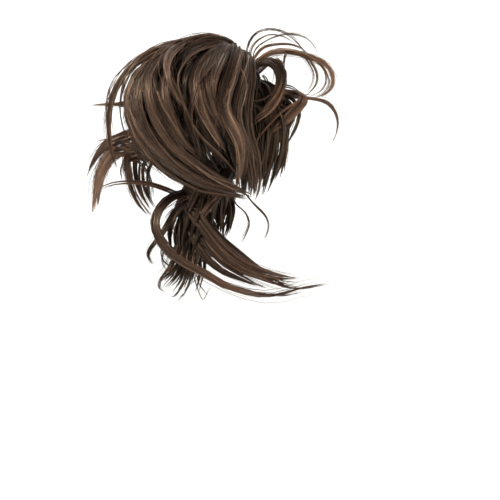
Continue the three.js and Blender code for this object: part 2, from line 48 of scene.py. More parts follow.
ACROSS = np.array([math.cos(TURN), math.sin(TURN), 0.0])
NEAR = np.array([math.sin(TURN) * math.cos(LIFT), -math.cos(TURN) * math.cos(LIFT), math.sin(LIFT)])
UP = np.cross(NEAR, ACROSS)


def place(across, up, near):
    """A point of the hair from its shares across, up and towards the shown side."""
    return SHARE * (across * ACROSS + up * UP + near * NEAR)


def path_points(path, near):
    """A row's path in space. Its nearness runs from the first value by the second to the third."""
    start, half, end = near
    t = np.linspace(0, 1, len(path))
    nearness = start + (end - start) * t + 4 * (half - (start + end) / 2) * t * (1 - t)
    return [place(across, up, n) for (across, up), n in zip(path, nearness)]


CURVE_STEPS = 16  # between one given point and the next


def curve_through(points, count):
    """A smooth curve through the points, as even steps along its length, and the length."""
    points = np.array(points)
    held = np.vstack([2 * points[0] - points[1], points, 2 * points[-1] - points[-2]])
    pieces = []
    for a, b, c, d in zip(held, held[1:], held[2:], held[3:]):
        k0 = 0.0
        k1 = k0 + np.linalg.norm(b - a) ** 0.5
        k2 = k1 + np.linalg.norm(c - b) ** 0.5
        k3 = k2 + np.linalg.norm(d - c) ** 0.5
        t = np.linspace(k1, k2, CURVE_STEPS, endpoint=False)[:, None]
        ab = (k1 - t) / (k1 - k0) * a + (t - k0) / (k1 - k0) * b
        bc = (k2 - t) / (k2 - k1) * b + (t - k1) / (k2 - k1) * c
        cd = (k3 - t) / (k3 - k2) * c + (t - k2) / (k3 - k2) * d
        abc = (k2 - t) / (k2 - k0) * ab + (t - k0) / (k2 - k0) * bc
        bcd = (k3 - t) / (k3 - k1) * bc + (t - k1) / (k3 - k1) * cd
        pieces.append((k2 - t) / (k2 - k1) * abc + (t - k1) / (k2 - k1) * bcd)
    fine = np.vstack(pieces + [points[-1:]])
    run = np.concatenate([[0], np.cumsum(np.linalg.norm(np.diff(fine, axis=0), axis=1))])
    even = np.linspace(0, run[-1], count)
    return np.stack([np.interp(even, run, fine[:, k]) for k in range(3)], axis=1), run[-1]


def smoothstep(t, low, high):
    s = np.clip((t - low) / (high - low), 0, 1)
    return s * s * (3 - 2 * s)


SMOOTHED = 7  # stations over which a lock's turning is evened out


def lock_frame(path, middle):
    """The directions across a lock and out of its flat face, without a sudden turn."""
    along = np.gradient(path, axis=0)
    along /= np.linalg.norm(along, axis=1)[:, None]
    side = np.cross(along, path - middle)
    side /= np.linalg.norm(side, axis=1)[:, None] + 1e-9
    for i in range(1, len(side)):
        if side[i] @ side[i - 1] < 0:
            side[i] = -side[i]
    padded = np.pad(side, ((SMOOTHED // 2, SMOOTHED // 2), (0, 0)), mode="edge")
    kernel = np.ones(SMOOTHED) / SMOOTHED
    smooth = np.stack([np.convolve(padded[:, k], kernel, "valid") for k in range(3)], axis=1)
    side = smooth - np.sum(smooth * along, axis=1)[:, None] * along
    side /= np.linalg.norm(side, axis=1)[:, None] + 1e-9
    return side, np.cross(side, along)


def at(values, t):
    """A sampled curve's values at shares t of its length."""
    spot = np.clip(t, 0, 1) * (len(values) - 1)
    low = np.minimum(spot.astype(int), len(values) - 2)
    rest = (spot - low)[..., None]
    return values[low] * (1 - rest) + values[low + 1] * rest


TUBE_SHIFT = 0.37  # from tube to tube, so that no two have the same streaks


class HairMesh:
    """Tubes gathered for one mesh: each closed, with its tone and its places round and along."""

    def __init__(self):
        self.points, self.tones, self.uvs, self.loops, self.sizes = [], [], [], [], []
        self.count = 0

    def tubes(self, centres, side, face, wide, thick, tone, length, sides):
        """Adds n tubes of s stations. centres, side, face: n x s x 3. wide, thick, tone: n x s."""
        n, s, _ = centres.shape
        turn = 2 * math.pi * np.arange(sides) / sides
        ring = (
            centres[:, :, None]
            + side[:, :, None] * (wide[:, :, None] * np.cos(turn))[..., None]
            + face[:, :, None] * (thick[:, :, None] * np.sin(turn))[..., None]
        )
        self.points.append(ring.reshape(-1, 3))
        self.tones.append(np.repeat(np.broadcast_to(tone, (n, s)).reshape(-1), sides))
        around = np.broadcast_to(turn * wide.max() + TUBE_SHIFT * np.arange(n)[:, None, None], (n, s, sides))
        down = np.broadcast_to((np.linspace(0, 1, s) * length)[None, :, None], (n, s, sides))
        self.uvs.append(np.stack([around, down], -1).reshape(-1, 2))
        first = self.count + (np.arange(n) * s * sides)[:, None, None]
        station = (np.arange(s - 1) * sides)[None, :, None]
        k = np.arange(sides)[None, None, :]
        here, onward = first + station + k, first + station + (k + 1) % sides
        quads = np.stack([here, here + sides, onward + sides, onward], -1).reshape(-1, 4)
        root_cap = (first[:, 0] + np.arange(sides)[None, :]).reshape(-1, sides)
        tip_cap = (first[:, 0] + (s - 1) * sides + np.arange(sides)[None, ::-1]).reshape(-1, sides)
        for faces in (quads, root_cap, tip_cap):
            self.loops.append(faces.ravel())
            self.sizes.append(np.full(len(faces), faces.shape[1]))
        self.count += n * s * sides

    def finish(self, name, material):
        """The mesh as an object, smooth, with its tone and its places as attributes."""
        points, loops = np.concatenate(self.points), np.concatenate(self.loops).astype(np.int32)
        sizes = np.concatenate(self.sizes).astype(np.int32)
        mesh = bpy.data.meshes.new(name)
        mesh.vertices.add(len(points))
        mesh.vertices.foreach_set("co", points.astype(np.float32).ravel())
        mesh.loops.add(len(loops))
        mesh.loops.foreach_set("vertex_index", loops)
        mesh.polygons.add(len(sizes))
        mesh.polygons.foreach_set("loop_start", (np.cumsum(sizes) - sizes).astype(np.int32))
        mesh.polygons.foreach_set("use_smooth", np.ones(len(sizes), bool))
        mesh.update(calc_edges=True)
        uv = mesh.uv_layers.new(name="hair")
        uv.data.foreach_set("uv", np.concatenate(self.uvs)[loops].astype(np.float32).ravel())
        tone = mesh.attributes.new("tone", "FLOAT", "POINT")
        tone.data.foreach_set("value", np.concatenate(self.tones).astype(np.float32))
        mesh.materials.append(material)
        piece = bpy.data.objects.new(name, mesh)
        bpy.context.collection.objects.link(piece)
        return piece


CLUMP_WIDTH = 0.0034  # a lock divides into clumps about this wide
# a clump's body is painted darker than its fibres by "darker": painted shade inside the lock
CLUMP_BODY = {"stations": 22, "sides": 8, "wider": 1.15, "thick": 0.42, "inside": 0.9, "darker": 0.2}
CLUMP_DRIFT = {"wide": 0.25, "wide_turns": 7, "thick": 0.4, "thick_turns": 6}
STRAND_FIBRES = 6  # fibres that keep together in a strand
STRAND_REACH = (0.3, 1.4)  # squared, as a share of the clump's half width
FIBRE_RADIUS = 0.0003  # drawn coarser than the real 0.04 mm, so that it shows
FIBRE_STATIONS = 14
FIBRE_SIDES = 3
FILL_SHARE = 0.45  # a fill lock is seen only between others, and has this share of the loose fibres; its dark tone is painted shade
PATH_STATIONS = 56
TIP_LENGTH = 0.03  # over which a clump narrows to its point
LONGEST_TAPER = 0.26  # of a lock's length
RAGGED = 0.013  # metres by which clumps and strands end before the lock does
FIBRE_RAGGED = 0.006
EDGE_PAINTED_SHADE = 0.38  # painted shade: how much darker the fibres at a lock's edges are, its middle taking a painted highlight
PAINTED_LIGHT_EVEN = 0.33  # the square of the place across a lock where they are neither darker nor lighter
TONE_SPREAD = {"clump": 0.09, "strand": 0.1, "fibre": 0.05}
STRAY = {"share": 0.11, "least": 1, "most": 8, "bend": 1.4}  # fibres that leave the lock, by millimetres
WAVE = {"height": 0.0004, "length": 0.009}  # the crimp left in a fibre by its setting
MILLIMETRE = 0.001


def grow_lock(hair, row, points, middle, per_mm, seed):
    """A row's lock of clumps and loose fibres along the curve through the points."""
    rng = np.random.default_rng(seed)
    wide, thick, tip = row["wide"] / 1000, row["thick"] / 1000, row["tip"]
    # tip_tone lightens a lock towards its tip: painted shade near the root, among the other locks, and a
    # painted highlight at the tip
    painted_tip_light = row.get("tip_tone", row["tone"]) - row["tone"]
    path, length = curve_through(points, PATH_STATIONS)
    taper_from = 1 - min(LONGEST_TAPER, TIP_LENGTH / length)
    side, face = lock_frame(path, middle)
    clumps = max(2, round(wide / CLUMP_WIDTH))
    density = per_mm * (FILL_SHARE if row.get("fill") else 1)
    fibres = max(6, round(density * row["wide"] / clumps))
    for c in range(clumps):
        across = 0.9 * (2 * (c + 0.5 + rng.uniform(-0.3, 0.3)) / clumps - 1)
        out = rng.uniform(-0.5, 0.6)
        phase = rng.uniform(0, 2 * math.pi, 3)
        end = 1 - rng.uniform(0, RAGGED) / length
        # painted shade at the lock's edges and a painted highlight down its middle, so that it looks rounded
        edge = EDGE_PAINTED_SHADE * (PAINTED_LIGHT_EVEN - across**2)
        clump_tone = row["tone"] + edge + rng.normal(0, TONE_SPREAD["clump"])
        radius_a = CLUMP_BODY["wider"] * wide / 2 / clumps
        radius_b = CLUMP_BODY["thick"] * thick / 2

        def clump_centre(t):
            """The clump's middle, and how full the lock is: it opens from its root and narrows to its tip."""
            full = (0.6 + 0.4 * smoothstep(t, 0, 0.35)) * (1 + (tip - 1) * smoothstep(t, 0.6, 1))
            turn_a, turn_b = CLUMP_DRIFT["wide_turns"] * t, CLUMP_DRIFT["thick_turns"] * t
            drift_a = across + CLUMP_DRIFT["wide"] * np.sin(turn_a + phase[0]) * t
            drift_b = out + CLUMP_DRIFT["thick"] * np.sin(turn_b + phase[1]) * t
            centre = at(path, t)
            centre = centre + at(side, t) * (drift_a * full * wide / 2)[..., None]
            centre = centre + at(face, t) * (drift_b * full * thick / 2)[..., None]
            return centre, full

        # the clump's body, painted darker than its fibres: painted shade inside the lock
        t = np.linspace(0, end * 0.97, CLUMP_BODY["stations"])[None, :]
        centre, full = clump_centre(t)
        taper = full * (1 - 0.9 * smoothstep(t, end * taper_from, end)) + 0.02
        half_wide = radius_a * taper * CLUMP_BODY["inside"]
        half_thick = radius_b * taper * CLUMP_BODY["inside"]
        tones = clump_tone - CLUMP_BODY["darker"] + painted_tip_light * t
        sides = CLUMP_BODY["sides"]
        hair.tubes(centre, at(side, t), at(face, t), half_wide, half_thick, tones, length, sides)

        # its loose fibres, strand by strand
        strand = np.arange(fibres) % math.ceil(fibres / STRAND_FIBRES)
        strands = strand.max() + 1
        strand_tone = rng.normal(0, TONE_SPREAD["strand"], strands)[strand]
        reach = np.sqrt(rng.uniform(*STRAND_REACH, strands))[strand][:, None]
        angle = rng.uniform(0, 2 * math.pi, strands)[strand][:, None]
        short = rng.uniform(0, RAGGED, strands)[strand] + rng.uniform(0, FIBRE_RAGGED, fibres)
        ends = end - short / length
        starts = rng.uniform(0, 0.08, fibres)
        t = starts[:, None] + (ends - starts)[:, None] * np.linspace(0, 1, FIBRE_STATIONS)[None, :]
        centre, full = clump_centre(t)
        angle = angle + rng.normal(0, 0.25, fibres)[:, None] + 0.9 * t * rng.normal(0, 1)
        gather = 1 - 0.6 * smoothstep(t, end * taper_from, end)
        leaves = rng.random(fibres) < STRAY["share"]
        leaves_by = np.where(leaves, rng.uniform(STRAY["least"], STRAY["most"], fibres), 0.0)
        stray = leaves_by[:, None] * MILLIMETRE * t ** STRAY["bend"]
        crimp = t * length / WAVE["length"] + phase[2] + rng.normal(0, 0.5, fibres)[:, None]
        wave = WAVE["height"] * np.sin(crimp) * t
        off_a = reach * np.cos(angle) * radius_a * full * gather + stray * np.cos(3 * angle) + wave
        off_b = reach * np.sin(angle) * radius_b * full * gather + stray * np.sin(5 * angle)
        fibre_side, fibre_face = at(side, t), at(face, t)
        centre = centre + fibre_side * off_a[..., None] + fibre_face * off_b[..., None]
        narrowing = 1 - 0.85 * np.linspace(0, 1, FIBRE_STATIONS) ** 5
        radius = FIBRE_RADIUS * rng.uniform(0.7, 1.25, fibres)[:, None] * narrowing
        fibre_tone = strand_tone + rng.normal(0, TONE_SPREAD["fibre"], fibres)
        tones = clump_tone + fibre_tone[:, None] + painted_tip_light * t
        hair.tubes(centre, fibre_side, fibre_face, radius, radius, tones, length, FIBRE_SIDES)


WISP_RADIUS = 0.00042  # a little coarser again, as nothing dark lies behind it
WISP_SPREAD = 0.0009  # how far a wisp's fibres part from one another
WISP_TONE_SPREAD = 0.1
WISP_WAVE = {"height": 0.0003, "length": 0.008}


def grow_wisp(hair, row, seed):
    """A row's thin wisp: a few loose fibres, without a body, that leave the hair they start in."""
    rng = np.random.default_rng(seed)
    fibres = row["fibres"]
    path, length = curve_through(path_points(row["path"], row["near"]), PATH_STATIONS)
    side, face = lock_frame(path, path.mean(axis=0) + 0.1 * NEAR)
    ends = rng.uniform(0.8, 1.0, fibres)[:, None]
    t = ends * np.linspace(0, 1, FIBRE_STATIONS)[None, :]
    phase = rng.uniform(0, 2 * math.pi, (2, fibres, 1))
    part = rng.normal(0, 1, (2, fibres, 1)) * WISP_SPREAD
    wave = WISP_WAVE["height"] * np.sin(t * length / WISP_WAVE["length"] + phase[0])
    off_a = part[0] * (0.4 + 0.6 * np.sin(4 * t + phase[0])) + wave
    off_b = part[1] * (0.4 + 0.6 * np.sin(4 * t + phase[1]))
    centre = at(path, t) + at(side, t) * off_a[..., None] + at(face, t) * off_b[..., None]
    narrowing = 1 - 0.8 * np.linspace(0, 1, FIBRE_STATIONS) ** 4
    narrowing = narrowing * (0.2 + 0.8 * smoothstep(t, 0, 0.1))
    radius = WISP_RADIUS * rng.uniform(0.7, 1.1, fibres)[:, None] * narrowing
    tones = row["tone"] + rng.normal(0, WISP_TONE_SPREAD, fibres)[:, None]
    hair.tubes(centre, at(side, t), at(face, t), radius, radius, tones, length, FIBRE_SIDES)


def linear(hex_colour):
    """An sRGB hex colour as the linear values that the shader takes."""
    parts = [int(hex_colour[i : i + 2], 16) / 255 for i in (1, 3, 5)]
    return [c / 12.92 if c <= 0.04045 else ((c + 0.055) / 1.055) ** 2.4 for c in parts] + [1.0]


def add_node(tree, kind, settings=(), links=()):
    """Adds a node, sets its values, and links its inputs: settings and links are pairs."""
    node = tree.nodes.new(kind)
    for name, value in settings:
        if isinstance(name, str) and hasattr(node, name):
            setattr(node, name, value)
        else:
            node.inputs[name].default_value = value
    for name, output in links:
        tree.links.new(output, node.inputs[name])
    return node


FIBRE_TONES = ("#1b1714", "#2a201b", "#423129", "#6f5645", "#aa8c74")  # from the deepest shade up


def modacrylic_fibre(name, warmth):
    """Extruded modacrylic fibre, heat-curled: smooth, so it shines in soft bands, with streaks."""
    material = bpy.data.materials.new(name)
    material.use_nodes = True
    tree = material.node_tree
    shader = tree.nodes["Principled BSDF"]
    shader.inputs["IOR"].default_value = 1.55
    shader.inputs["Roughness"].default_value = 0.32
    shader.inputs["Specular Tint"].default_value = linear("#f0cba8")  # dyed fibre tints its own shine
    tone = add_node(tree, "ShaderNodeAttribute", [("attribute_name", "tone")])
    places = add_node(tree, "ShaderNodeUVMap", [("uv_map", "hair")])
    fibre_grain = add_node(
        tree, "ShaderNodeMapping", [("Scale", (1 / 0.0006, 1 / 0.035, 1))], [("Vector", places.outputs["UV"])]
    )  # one fibre in 0.6 mm round the lock, 35 mm along it
    streaks = add_node(
        tree,
        "ShaderNodeTexNoise",
        [("Scale", 1.0), ("Detail", 3.0)],
        [("Vector", fibre_grain.outputs["Vector"])],
    )
    spread = add_node(
        tree, "ShaderNodeMapRange", [("To Min", -0.13), ("To Max", 0.13)], [("Value", streaks.outputs["Fac"])]
    )
    streaked = add_node(
        tree,
        "ShaderNodeMath",
        [("operation", "ADD")],
        [(0, tone.outputs["Fac"]), (1, spread.outputs["Result"])],
    )
    ramp = add_node(tree, "ShaderNodeValToRGB", [], [("Fac", streaked.outputs["Value"])])
    stops = ramp.color_ramp.elements
    while len(stops) < len(FIBRE_TONES):
        stops.new(0.5)
    for i, colour in enumerate(FIBRE_TONES):
        stops[i].position = i / (len(FIBRE_TONES) - 1)
        stops[i].color = linear(colour)
    warm = add_node(
        tree,
        "ShaderNodeMix",
        [("data_type", "RGBA"), ("blend_type", "MULTIPLY"), (0, 1.0), (7, linear(warmth))],
        [(6, ramp.outputs["Color"])],
    )
    tree.links.new(warm.outputs[2], shader.inputs["Base Color"])
    relief = add_node(
        tree,
        "ShaderNodeBump",
        [("Strength", 0.35), ("Distance", 0.0003)],
        [("Height", streaks.outputs["Fac"])],
    )
    tree.links.new(relief.outputs["Normal"], shader.inputs["Normal"])
    return material


brown_fibre = modacrylic_fibre("modacrylic_fibre_brown", "#ffffff")

CORE = {"across": -0.53, "up": 0.38, "near": 0.34, "half": (0.46, 0.58, 0.44)}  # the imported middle
core_centre = place(CORE["across"], CORE["up"], CORE["near"])


def core_root(across, up):
    """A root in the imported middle, from shares of its half width and height."""
    return place(CORE["across"] + across * CORE["half"][0], CORE["up"] + up * CORE["half"][1], CORE["near"])


FALL_ROOT = (0.4, 0.45)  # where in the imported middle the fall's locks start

# In the tables of locks, path gives places across and up, and near the nearness at root, middle and tip.
# Wide and thick are in millimetres, tip is the share of the width left at the tip, and tone runs from 0, the
# deepest, to 1. A lock with tip_tone lightens to it at its tip: painted shade near the root and a painted
# highlight at the tip. A lock with both grows on the wearer's left too.
LEFT_CURLS = [
    dict(name="outer_arch", near=(0.4, 0.5, 0.5), wide=10, thick=9, tip=0.25, tone=0.44,
         path=[(-0.34, 1.16), (-0.75, 1.13), (-1.03, 1.02), (-1.24, 0.87), (-1.38, 0.66), (-1.44, 0.42),
               (-1.43, 0.16), (-1.39, -0.04), (-1.31, -0.22)]),
    dict(name="edge_curl", near=(0.45, 0.8, 0.6), wide=12, thick=8, tip=0.4, tone=0.4, tip_tone=0.6,
         path=[(-0.53, 1.11), (-0.88, 1.03), (-1.1, 0.9), (-1.22, 0.73), (-1.26, 0.52), (-1.24, 0.36),
               (-1.18, 0.2), (-1.08, 0.03), (-0.93, -0.12), (-0.77, -0.24), (-0.52, -0.36), (-0.18, -0.41),
               (0.0, -0.45)]),
    dict(name="second_curl", near=(0.55, 0.98, 0.68), wide=15, thick=7, tip=0.4, tone=0.22, tip_tone=0.5,
         path=[(-0.6, 1.08), (-0.92, 0.98), (-1.1, 0.8), (-1.17, 0.56), (-1.12, 0.32), (-0.98, 0.08),
               (-0.78, -0.12), (-0.5, -0.28), (-0.1, -0.38), (0.02, -0.42)]),
    dict(name="third_curl", near=(0.65, 1.08, 0.85), wide=14, thick=7, tip=0.35, tone=0.12, tip_tone=0.6,
         path=[(-0.66, 1.06), (-0.92, 0.94), (-1.02, 0.76), (-1.01, 0.54), (-0.93, 0.31), (-0.78, 0.09),
               (-0.58, -0.09), (-0.3, -0.25)]),
    dict(name="fourth_curl", near=(0.75, 1.12, 0.98), wide=13, thick=6, tip=0.3, tone=0.12, tip_tone=0.52,
         path=[(-0.72, 1.0), (-0.87, 0.8), (-0.89, 0.58), (-0.82, 0.36), (-0.69, 0.14), (-0.48, -0.07)]),
    dict(name="front_curl", near=(0.7, 1.12, 1.2), wide=10, thick=5, tip=0.25, tone=0.5,
         path=[(-0.6, 1.12), (-0.8, 1.06), (-0.86, 0.93), (-0.85, 0.79), (-0.78, 0.63), (-0.69, 0.5),
               (-0.61, 0.4)]),
    dict(name="top_sweep", near=(0.45, 0.7, 1.0), wide=17, thick=8, tip=0.35, tone=0.44,
         path=[(-0.22, 1.09), (-0.43, 1.16), (-0.61, 1.12), (-0.74, 1.02), (-0.78, 0.9)]),
    dict(name="low_top_sweep", near=(0.55, 0.85, 1.1), wide=12, thick=6, tip=0.25, tone=0.3,
         path=[(-0.26, 1.09), (-0.48, 1.08), (-0.63, 1.0), (-0.7, 0.88)]),
]
RIGHT_FALLS = [
    dict(name="left_fall", near=(0.65, 1.12, 1.0), wide=14, thick=6, tip=0.3, tone=0.22, tip_tone=0.62,
         path=[(-0.36, 1.08), (-0.5, 0.94), (-0.57, 0.74), (-0.54, 0.52), (-0.45, 0.32), (-0.33, 0.13),
               (-0.23, -0.03)]),
    dict(name="tuft_fall", near=(0.65, 1.17, 1.08), wide=11, thick=6, tip=0.3, tone=0.2, tip_tone=0.44,
         path=[(-0.31, 1.09), (-0.4, 0.94), (-0.46, 0.74), (-0.43, 0.54), (-0.35, 0.34), (-0.24, 0.16)]),
    dict(name="short_fall", near=(0.62, 1.14, 1.16), wide=9, thick=5, tip=0.25, tone=0.36, tip_tone=0.62,
         path=[(-0.24, 1.1), (-0.31, 0.96), (-0.37, 0.78), (-0.39, 0.61), (-0.35, 0.45)]),
    dict(name="bright_fall", near=(0.55, 1.04, 0.85), wide=14, thick=7, tip=0.45, tone=0.4, tip_tone=0.8,
         path=[(-0.14, 1.08), (-0.17, 0.94), (-0.22, 0.76), (-0.28, 0.58), (-0.28, 0.41), (-0.2, 0.27),
               (-0.13, 0.12), (-0.12, -0.1), (-0.17, -0.36)]),
    dict(name="right_fall", near=(0.45, 0.88, 0.7), wide=14, thick=6, tip=0.5, tone=0.26, tip_tone=0.44,
         both=True,
         path=[(-0.09, 1.05), (-0.07, 0.9), (-0.1, 0.72), (-0.16, 0.54), (-0.17, 0.34), (-0.1, 0.14),
               (-0.04, -0.06), (-0.01, -0.26), (-0.03, -0.45)]),
    dict(name="edge_fall", near=(0.4, 0.68, 0.56), wide=13, thick=6, tip=0.5, tone=0.24, tip_tone=0.66,
         both=True,
         path=[(-0.04, 1.0), (-0.01, 0.78), (-0.05, 0.5), (-0.04, 0.26), (0.04, 0.02), (0.06, -0.18),
               (0.04, -0.36), (-0.01, -0.47)]),
]
# the fill locks below are painted dark: painted shade of the packed hair between the others
UNDER_LOCKS = [
    dict(name="under_left", near=(0.5, 0.86, 0.68), wide=34, thick=9, tip=0.7, tone=0.12, fill=True,
         path=[(-0.83, 0.86), (-1.05, 0.6), (-1.02, 0.26), (-0.81, -0.05), (-0.5, -0.26), (-0.15, -0.37)]),
    dict(name="under_middle", near=(0.55, 0.96, 0.8), wide=28, thick=9, tip=0.6, tone=0.1, fill=True,
         path=[(-0.48, 0.96), (-0.58, 0.7), (-0.6, 0.4), (-0.5, 0.1), (-0.31, -0.2)]),
    dict(name="under_right", near=(0.45, 0.82, 0.62), wide=30, thick=9, tip=0.7, tone=0.12, fill=True,
         path=[(-0.18, 0.86), (-0.19, 0.56), (-0.18, 0.26), (-0.12, -0.06), (-0.1, -0.4)]),
    dict(name="under_hem", near=(0.6, 0.74, 0.58), wide=24, thick=8, tip=0.8, tone=0.12, fill=True,
         path=[(-0.63, 0.06), (-0.53, -0.14), (-0.38, -0.28), (-0.08, -0.4)]),
    dict(name="under_gap", near=(0.5, 0.92, 0.78), wide=32, thick=8, tip=0.8, tone=0.05, fill=True,
         path=[(-0.3, 0.9), (-0.4, 0.5), (-0.38, 0.1), (-0.26, -0.24)]),
    dict(name="under_top", near=(0.5, 0.76, 0.74), wide=24, thick=8, tip=0.7, tone=0.12, fill=True,
         path=[(-0.3, 1.02), (-0.6, 0.98), (-0.86, 0.84)]),
    dict(name="under_shade", near=(0.5, 0.94, 0.84), wide=30, thick=8, tip=0.7, tone=0.06, fill=True,
         path=[(-0.5, 1.0), (-0.74, 0.86), (-0.79, 0.6), (-0.68, 0.28)]),
    dict(name="under_edge", near=(0.4, 0.66, 0.54), wide=26, thick=8, tip=0.8, tone=0.08, fill=True,
         path=[(-0.1, 0.9), (-0.1, 0.5), (-0.06, 0.1), (-0.04, -0.3), (-0.06, -0.46)]),
    dict(name="low_streak", near=(0.8, 0.98, 0.76), wide=10, thick=5, tip=0.3, tone=0.5,
         path=[(-0.88, 0.21), (-0.64, -0.03), (-0.38, -0.22), (-0.03, -0.4), (0.04, -0.43)]),
    dict(name="hem_streak", near=(0.85, 0.86, 0.7), wide=7, thick=4, tip=0.3, tone=0.55,
         path=[(-0.5, -0.1), (-0.28, -0.27), (0.03, -0.43)]),
]
CROWN_WISPS = [
    dict(name="outer_hook_light", near=(0.16, 0.16, 0.14), fibres=12, tone=0.72,
         path=[(-1.26, 0.06), (-1.24, -0.14), (-1.19, -0.34), (-1.1, -0.5), (-1.0, -0.62)]),
    dict(name="inner_hook_light", near=(0.14, 0.12, 0.1), fibres=10, tone=0.56,
         path=[(-1.14, -0.04), (-1.15, -0.22), (-1.11, -0.4), (-1.02, -0.56)]),
    dict(name="hook_cross", near=(0.14, 0.12, 0.1), fibres=8, tone=0.4,
         path=[(-1.31, 0.1), (-1.18, -0.02), (-1.06, -0.16), (-1.01, -0.34), (-1.02, -0.48)]),
    dict(name="pale_tuft", near=(0.16, 0.14, 0.14), fibres=14, tone=0.78,
         path=[(-1.28, 0.06), (-1.3, -0.04), (-1.33, -0.14), (-1.31, -0.25)]),
    dict(name="spike_strand", near=(0.4, 0.34, 0.3), fibres=16, tone=0.6,
         path=[(-1.2, 0.52), (-1.4, 0.52), (-1.62, 0.51)]),
    dict(name="slit_edge", near=(0.7, 0.86, 0.88), fibres=8, tone=0.64,
         path=[(-0.81, 1.1), (-1.03, 1.04), (-1.16, 0.93), (-1.26, 0.78), (-1.31, 0.6), (-1.31, 0.4)]),
    dict(name="vertical_light", near=(0.9, 1.26, 1.28), fibres=12, tone=0.6,
         path=[(-0.67, 1.12), (-0.8, 0.98), (-0.84, 0.82), (-0.8, 0.64), (-0.69, 0.46)]),
    dict(name="left_light", near=(0.95, 1.22, 1.2), fibres=10, tone=0.58,
         path=[(-0.93, 0.94), (-1.01, 0.76), (-1.01, 0.56), (-0.93, 0.34), (-0.81, 0.16)]),
    dict(name="mid_light", near=(1.2, 1.24, 1.12), fibres=12, tone=0.66,
         path=[(-0.95, 0.64), (-0.87, 0.44), (-0.75, 0.24), (-0.63, 0.06)]),
    dict(name="low_light", near=(0.98, 1.08, 1.0), fibres=12, tone=0.66,
         path=[(-1.23, 0.48), (-1.13, 0.24), (-0.97, 0.04), (-0.77, -0.12)]),
    dict(name="tip_light", near=(0.9, 0.94, 0.86), fibres=9, tone=0.6,
         path=[(-1.03, 0.06), (-0.85, -0.09), (-0.67, -0.2), (-0.49, -0.3)]),
    dict(name="fall_light", near=(0.95, 1.24, 1.06), fibres=12, tone=0.62,
         path=[(-0.47, 0.94), (-0.53, 0.72), (-0.49, 0.48), (-0.39, 0.26), (-0.27, 0.04)]),
    dict(name="fall_cross", near=(0.9, 1.2, 1.24), fibres=8, tone=0.5,
         path=[(-0.31, 1.0), (-0.45, 0.82), (-0.57, 0.64), (-0.63, 0.44)]),
    dict(name="right_cross", near=(0.8, 1.06, 1.04), fibres=9, tone=0.58,
         path=[(-0.13, 0.96), (-0.21, 0.72), (-0.31, 0.5), (-0.37, 0.28), (-0.35, 0.08)]),
    dict(name="over_arch", near=(0.4, 0.46, 0.5), fibres=4, tone=0.5,
         path=[(-0.5, 1.15), (-0.85, 1.12), (-1.08, 1.04), (-1.26, 0.92), (-1.36, 0.8)]),
    dict(name="arch_strand", near=(0.4, 0.46, 0.5), fibres=5, tone=0.55,
         path=[(-0.6, 1.17), (-0.96, 1.1), (-1.2, 0.95), (-1.4, 0.76), (-1.47, 0.5), (-1.46, 0.24)]),
    dict(name="boundary", near=(0.5, 0.9, 0.95), fibres=5, tone=0.7,
         path=[(-0.05, 1.02), (-0.05, 0.94), (-0.09, 0.8), (-0.14, 0.6)]),
    dict(name="cross_strand", near=(0.75, 1.2, 1.1), fibres=7, tone=0.6,
         path=[(-0.3, 1.12), (-0.62, 0.98), (-0.74, 0.74), (-0.66, 0.46), (-0.5, 0.22)]),
    dict(name="cross_thread", near=(0.75, 1.2, 1.05), fibres=6, tone=0.5,
         path=[(-0.2, 1.1), (-0.44, 0.86), (-0.58, 0.56), (-0.6, 0.28), (-0.5, 0.02)]),
    dict(name="low_thread", near=(1.05, 1.08, 0.84), fibres=8, tone=0.55,
         path=[(-0.7, 0.5), (-0.52, 0.2), (-0.28, -0.04), (-0.08, -0.3)]),
    dict(name="right_thread", near=(0.7, 1.0, 0.72), fibres=6, tone=0.6,
         path=[(-0.2, 1.0), (-0.06, 0.7), (-0.12, 0.36), (0.0, 0.02), (0.0, -0.3)]),
    dict(name="left_thread", near=(0.5, 0.7, 0.62), fibres=5, tone=0.5,
         path=[(-0.9, 1.06), (-1.2, 0.86), (-1.33, 0.52), (-1.24, 0.14), (-1.06, -0.1)]),
]

for name, rows, per_mm, seed in (
    ("crown_left_curls", LEFT_CURLS, 14, 100),
    ("crown_right_falls", RIGHT_FALLS, 15, 200),
    ("crown_under_locks", UNDER_LOCKS, 9, 250),
):
    hair = HairMesh()
    for i, row in enumerate(rows):
        points = [core_root(*FALL_ROOT)] + path_points(row["path"], row["near"])
        grow_lock(hair, row, points, core_centre, per_mm, seed + i)
    if name == "crown_under_locks":
        for i, row in enumerate(CROWN_WISPS):
            grow_wisp(hair, row, 280 + i)
    locks = hair.finish(name, brown_fibre)
    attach(locks, "root")
    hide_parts("crown_plume")

# Far side and packed middle of the crown
# The same locks on the side away from the viewer, laid round the fall, over hair that is packed so close
# that no light comes through it. That packed hair is painted near-black: painted shade.

SHELL = {"across": -0.6, "up": 0.4, "near": 0.36, "half": (0.64, 0.76, 0.62)}
FAR_LAYERS = [
    dict(depth=1.0, count=8, wide=21, thick=6, tip=0.35, tone=0.34, per_mm=6, seed=300),
    # the inner layer, painted dark: painted shade under the outer locks
    dict(depth=0.8, count=7, wide=34, thick=8, tip=0.6, tone=0.1, per_mm=2, seed=310),
]
FAR_ROOT = (0.2, 0.4)
FAR_TURNS = (122, 262)  # degrees round the shell
FAR_SWIRL = 26
FAR_DOWN = (20, 52, 86, 118, 142)  # degrees down from the shell's top

